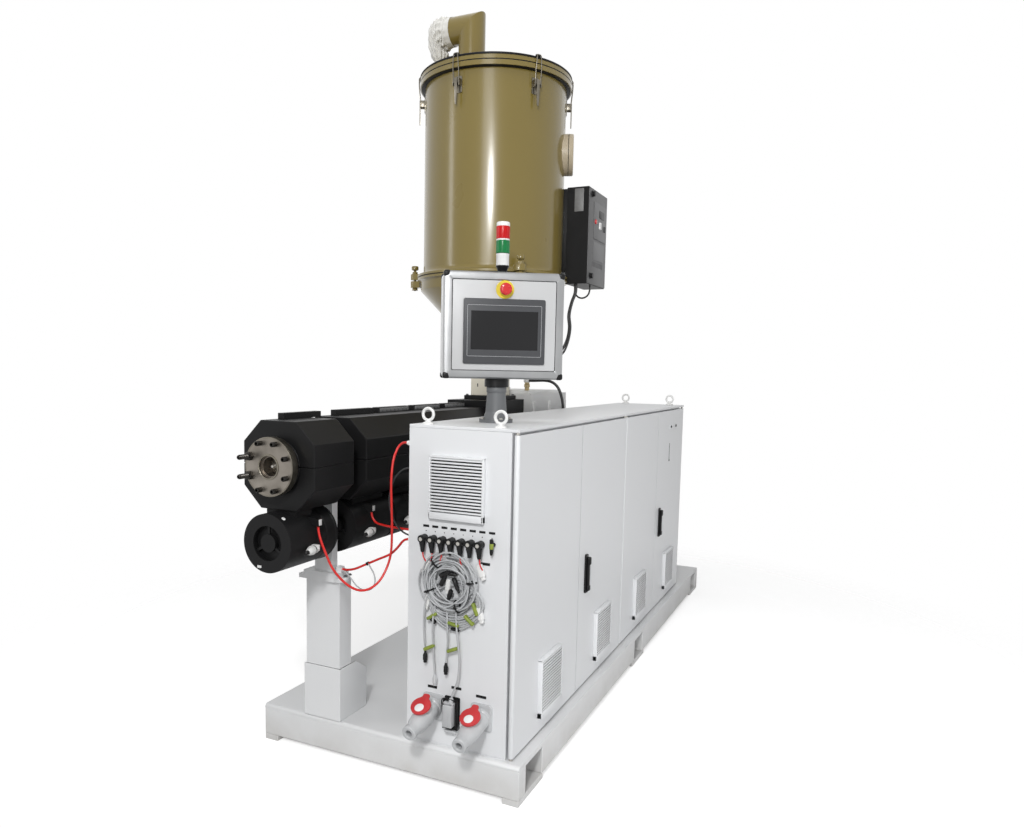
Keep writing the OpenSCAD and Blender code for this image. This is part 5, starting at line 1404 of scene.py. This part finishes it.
# %% Floor
FLOOR_LIFT, FLOOR_FADE = .5, (1.4, 2.6)
bm = bmesh.new()
bmesh.ops.create_circle(bm, cap_ends=True, radius=7.0, segments=96)
mesh = bpy.data.meshes.new("floor")
bm.to_mesh(mesh)
bm.free()
floor = bpy.data.objects.new("floor", mesh)
scene.collection.objects.link(floor)
floor_mat = bpy.data.materials.new("pale_floor")
floor_mat.use_nodes = True
tree = floor_mat.node_tree
to_eye = add_node(tree, "LightPath").outputs["Is Camera Ray"]
lift = add_node(tree, "Math", {0: to_eye, 1: FLOOR_LIFT}, operation="MULTIPLY")
pale = tree.nodes["Principled BSDF"]
feed(tree, pale, {"Base Color": (.8, .8, .8, 1.0), "Roughness": .8, "Emission Color": WHITE,
                  "Emission Strength": lift.outputs[0]})
coords = add_node(tree, "TexCoord").outputs["Object"]
spread = add_node(tree, "VectorMath", {0: coords}, operation="LENGTH").outputs["Value"]
fade = add_node(tree, "MapRange", {"Value": spread, "From Min": FLOOR_FADE[0], "From Max": FLOOR_FADE[1]})
clear = add_node(tree, "BsdfTransparent")
blend = add_node(tree, "MixShader", {0: fade.outputs[0], 1: pale.outputs[0], 2: clear.outputs[0]})
feed(tree, tree.nodes["Material Output"], {"Surface": blend.outputs[0]})
floor.data.materials.append(floor_mat)
print("floor fades from", FLOOR_FADE[0], "to", FLOOR_FADE[1], "m")

# %% [markdown]
# ## Finishes on the CAD nodes
# Nodes whose shape is already right keep it and get their finish. Welding the triangles and bevelling the
# sharp edges by two or three millimetres lets the plates catch light along their edges, as painted sheet does.

# %% Dress the CAD nodes
looks = {
    skid_paint: "base_deck base_beams foot_plates barrel_post post_head gearbox_stand motor_stand",
    cabinet_paint: "cabinet_floor cabinet_roof cabinet_front_panel cabinet_rear_panel cabinet_back_panel cabinet_posts "
                   "lifting_eyes door_1 door_2 door_3 door_4 front_vent vent_1 vent_2 vent_3 vent_4",
    casting_paint: "gearbox",
    cast_grey: "hmi_pedestal",
    motor_blue_grey: "drive_motor",
    port_beige: "inspection_port",
    black_satin: "covers_upper covers_lower terminal_covers blowers feed_throat throat_plate heater_box",
    black_plastic: "handle_1 handle_2 panel_plugs",
    flange_steel: "barrel",
    bright_steel: "flange_studs screw lid_clamps door_pivots",
    olive_paint: "hopper_neck hopper_cone hopper_shell hopper_lid exhaust_elbow joint_clamps",
    brushed_aluminium: "hmi_box",
    dark_bezel: "hmi_screen",
    red_gloss: "emergency_stop",
    green_lens: "tower_light",
    white_plastic: "filter_cloth",
    beige_paint: "gate_box",
    grey_plastic: "power_inlets",
    red_lid: "inlet_lids",
}
for material, names in looks.items():
    for name in names.split():
        mesh = nodes[name].data
        mesh.materials.clear()
        mesh.materials.append(material)

edges = {
    .003: "base_beams foot_plates barrel_post post_head gearbox_stand motor_stand gate_box throat_plate covers_upper "
          "covers_lower gearbox",
    .002: "cabinet_roof cabinet_front_panel door_1 door_2 door_3 door_4 terminal_covers heater_box base_deck",
}
for width, names in edges.items():
    for name in names.split():
        weld = nodes[name].modifiers.new("weld", "WELD")
        weld.merge_threshold = .00005
        bevel = nodes[name].modifiers.new("bevel", "BEVEL")
        bevel.width = width
        bevel.segments = 2
        bevel.limit_method = "ANGLE"
        bevel.angle_limit = math.radians(40)
        bevel.harden_normals = True
print("dressed", sum(len(v.split()) for v in looks.values()), "nodes")

# %% [markdown]
# ## The end
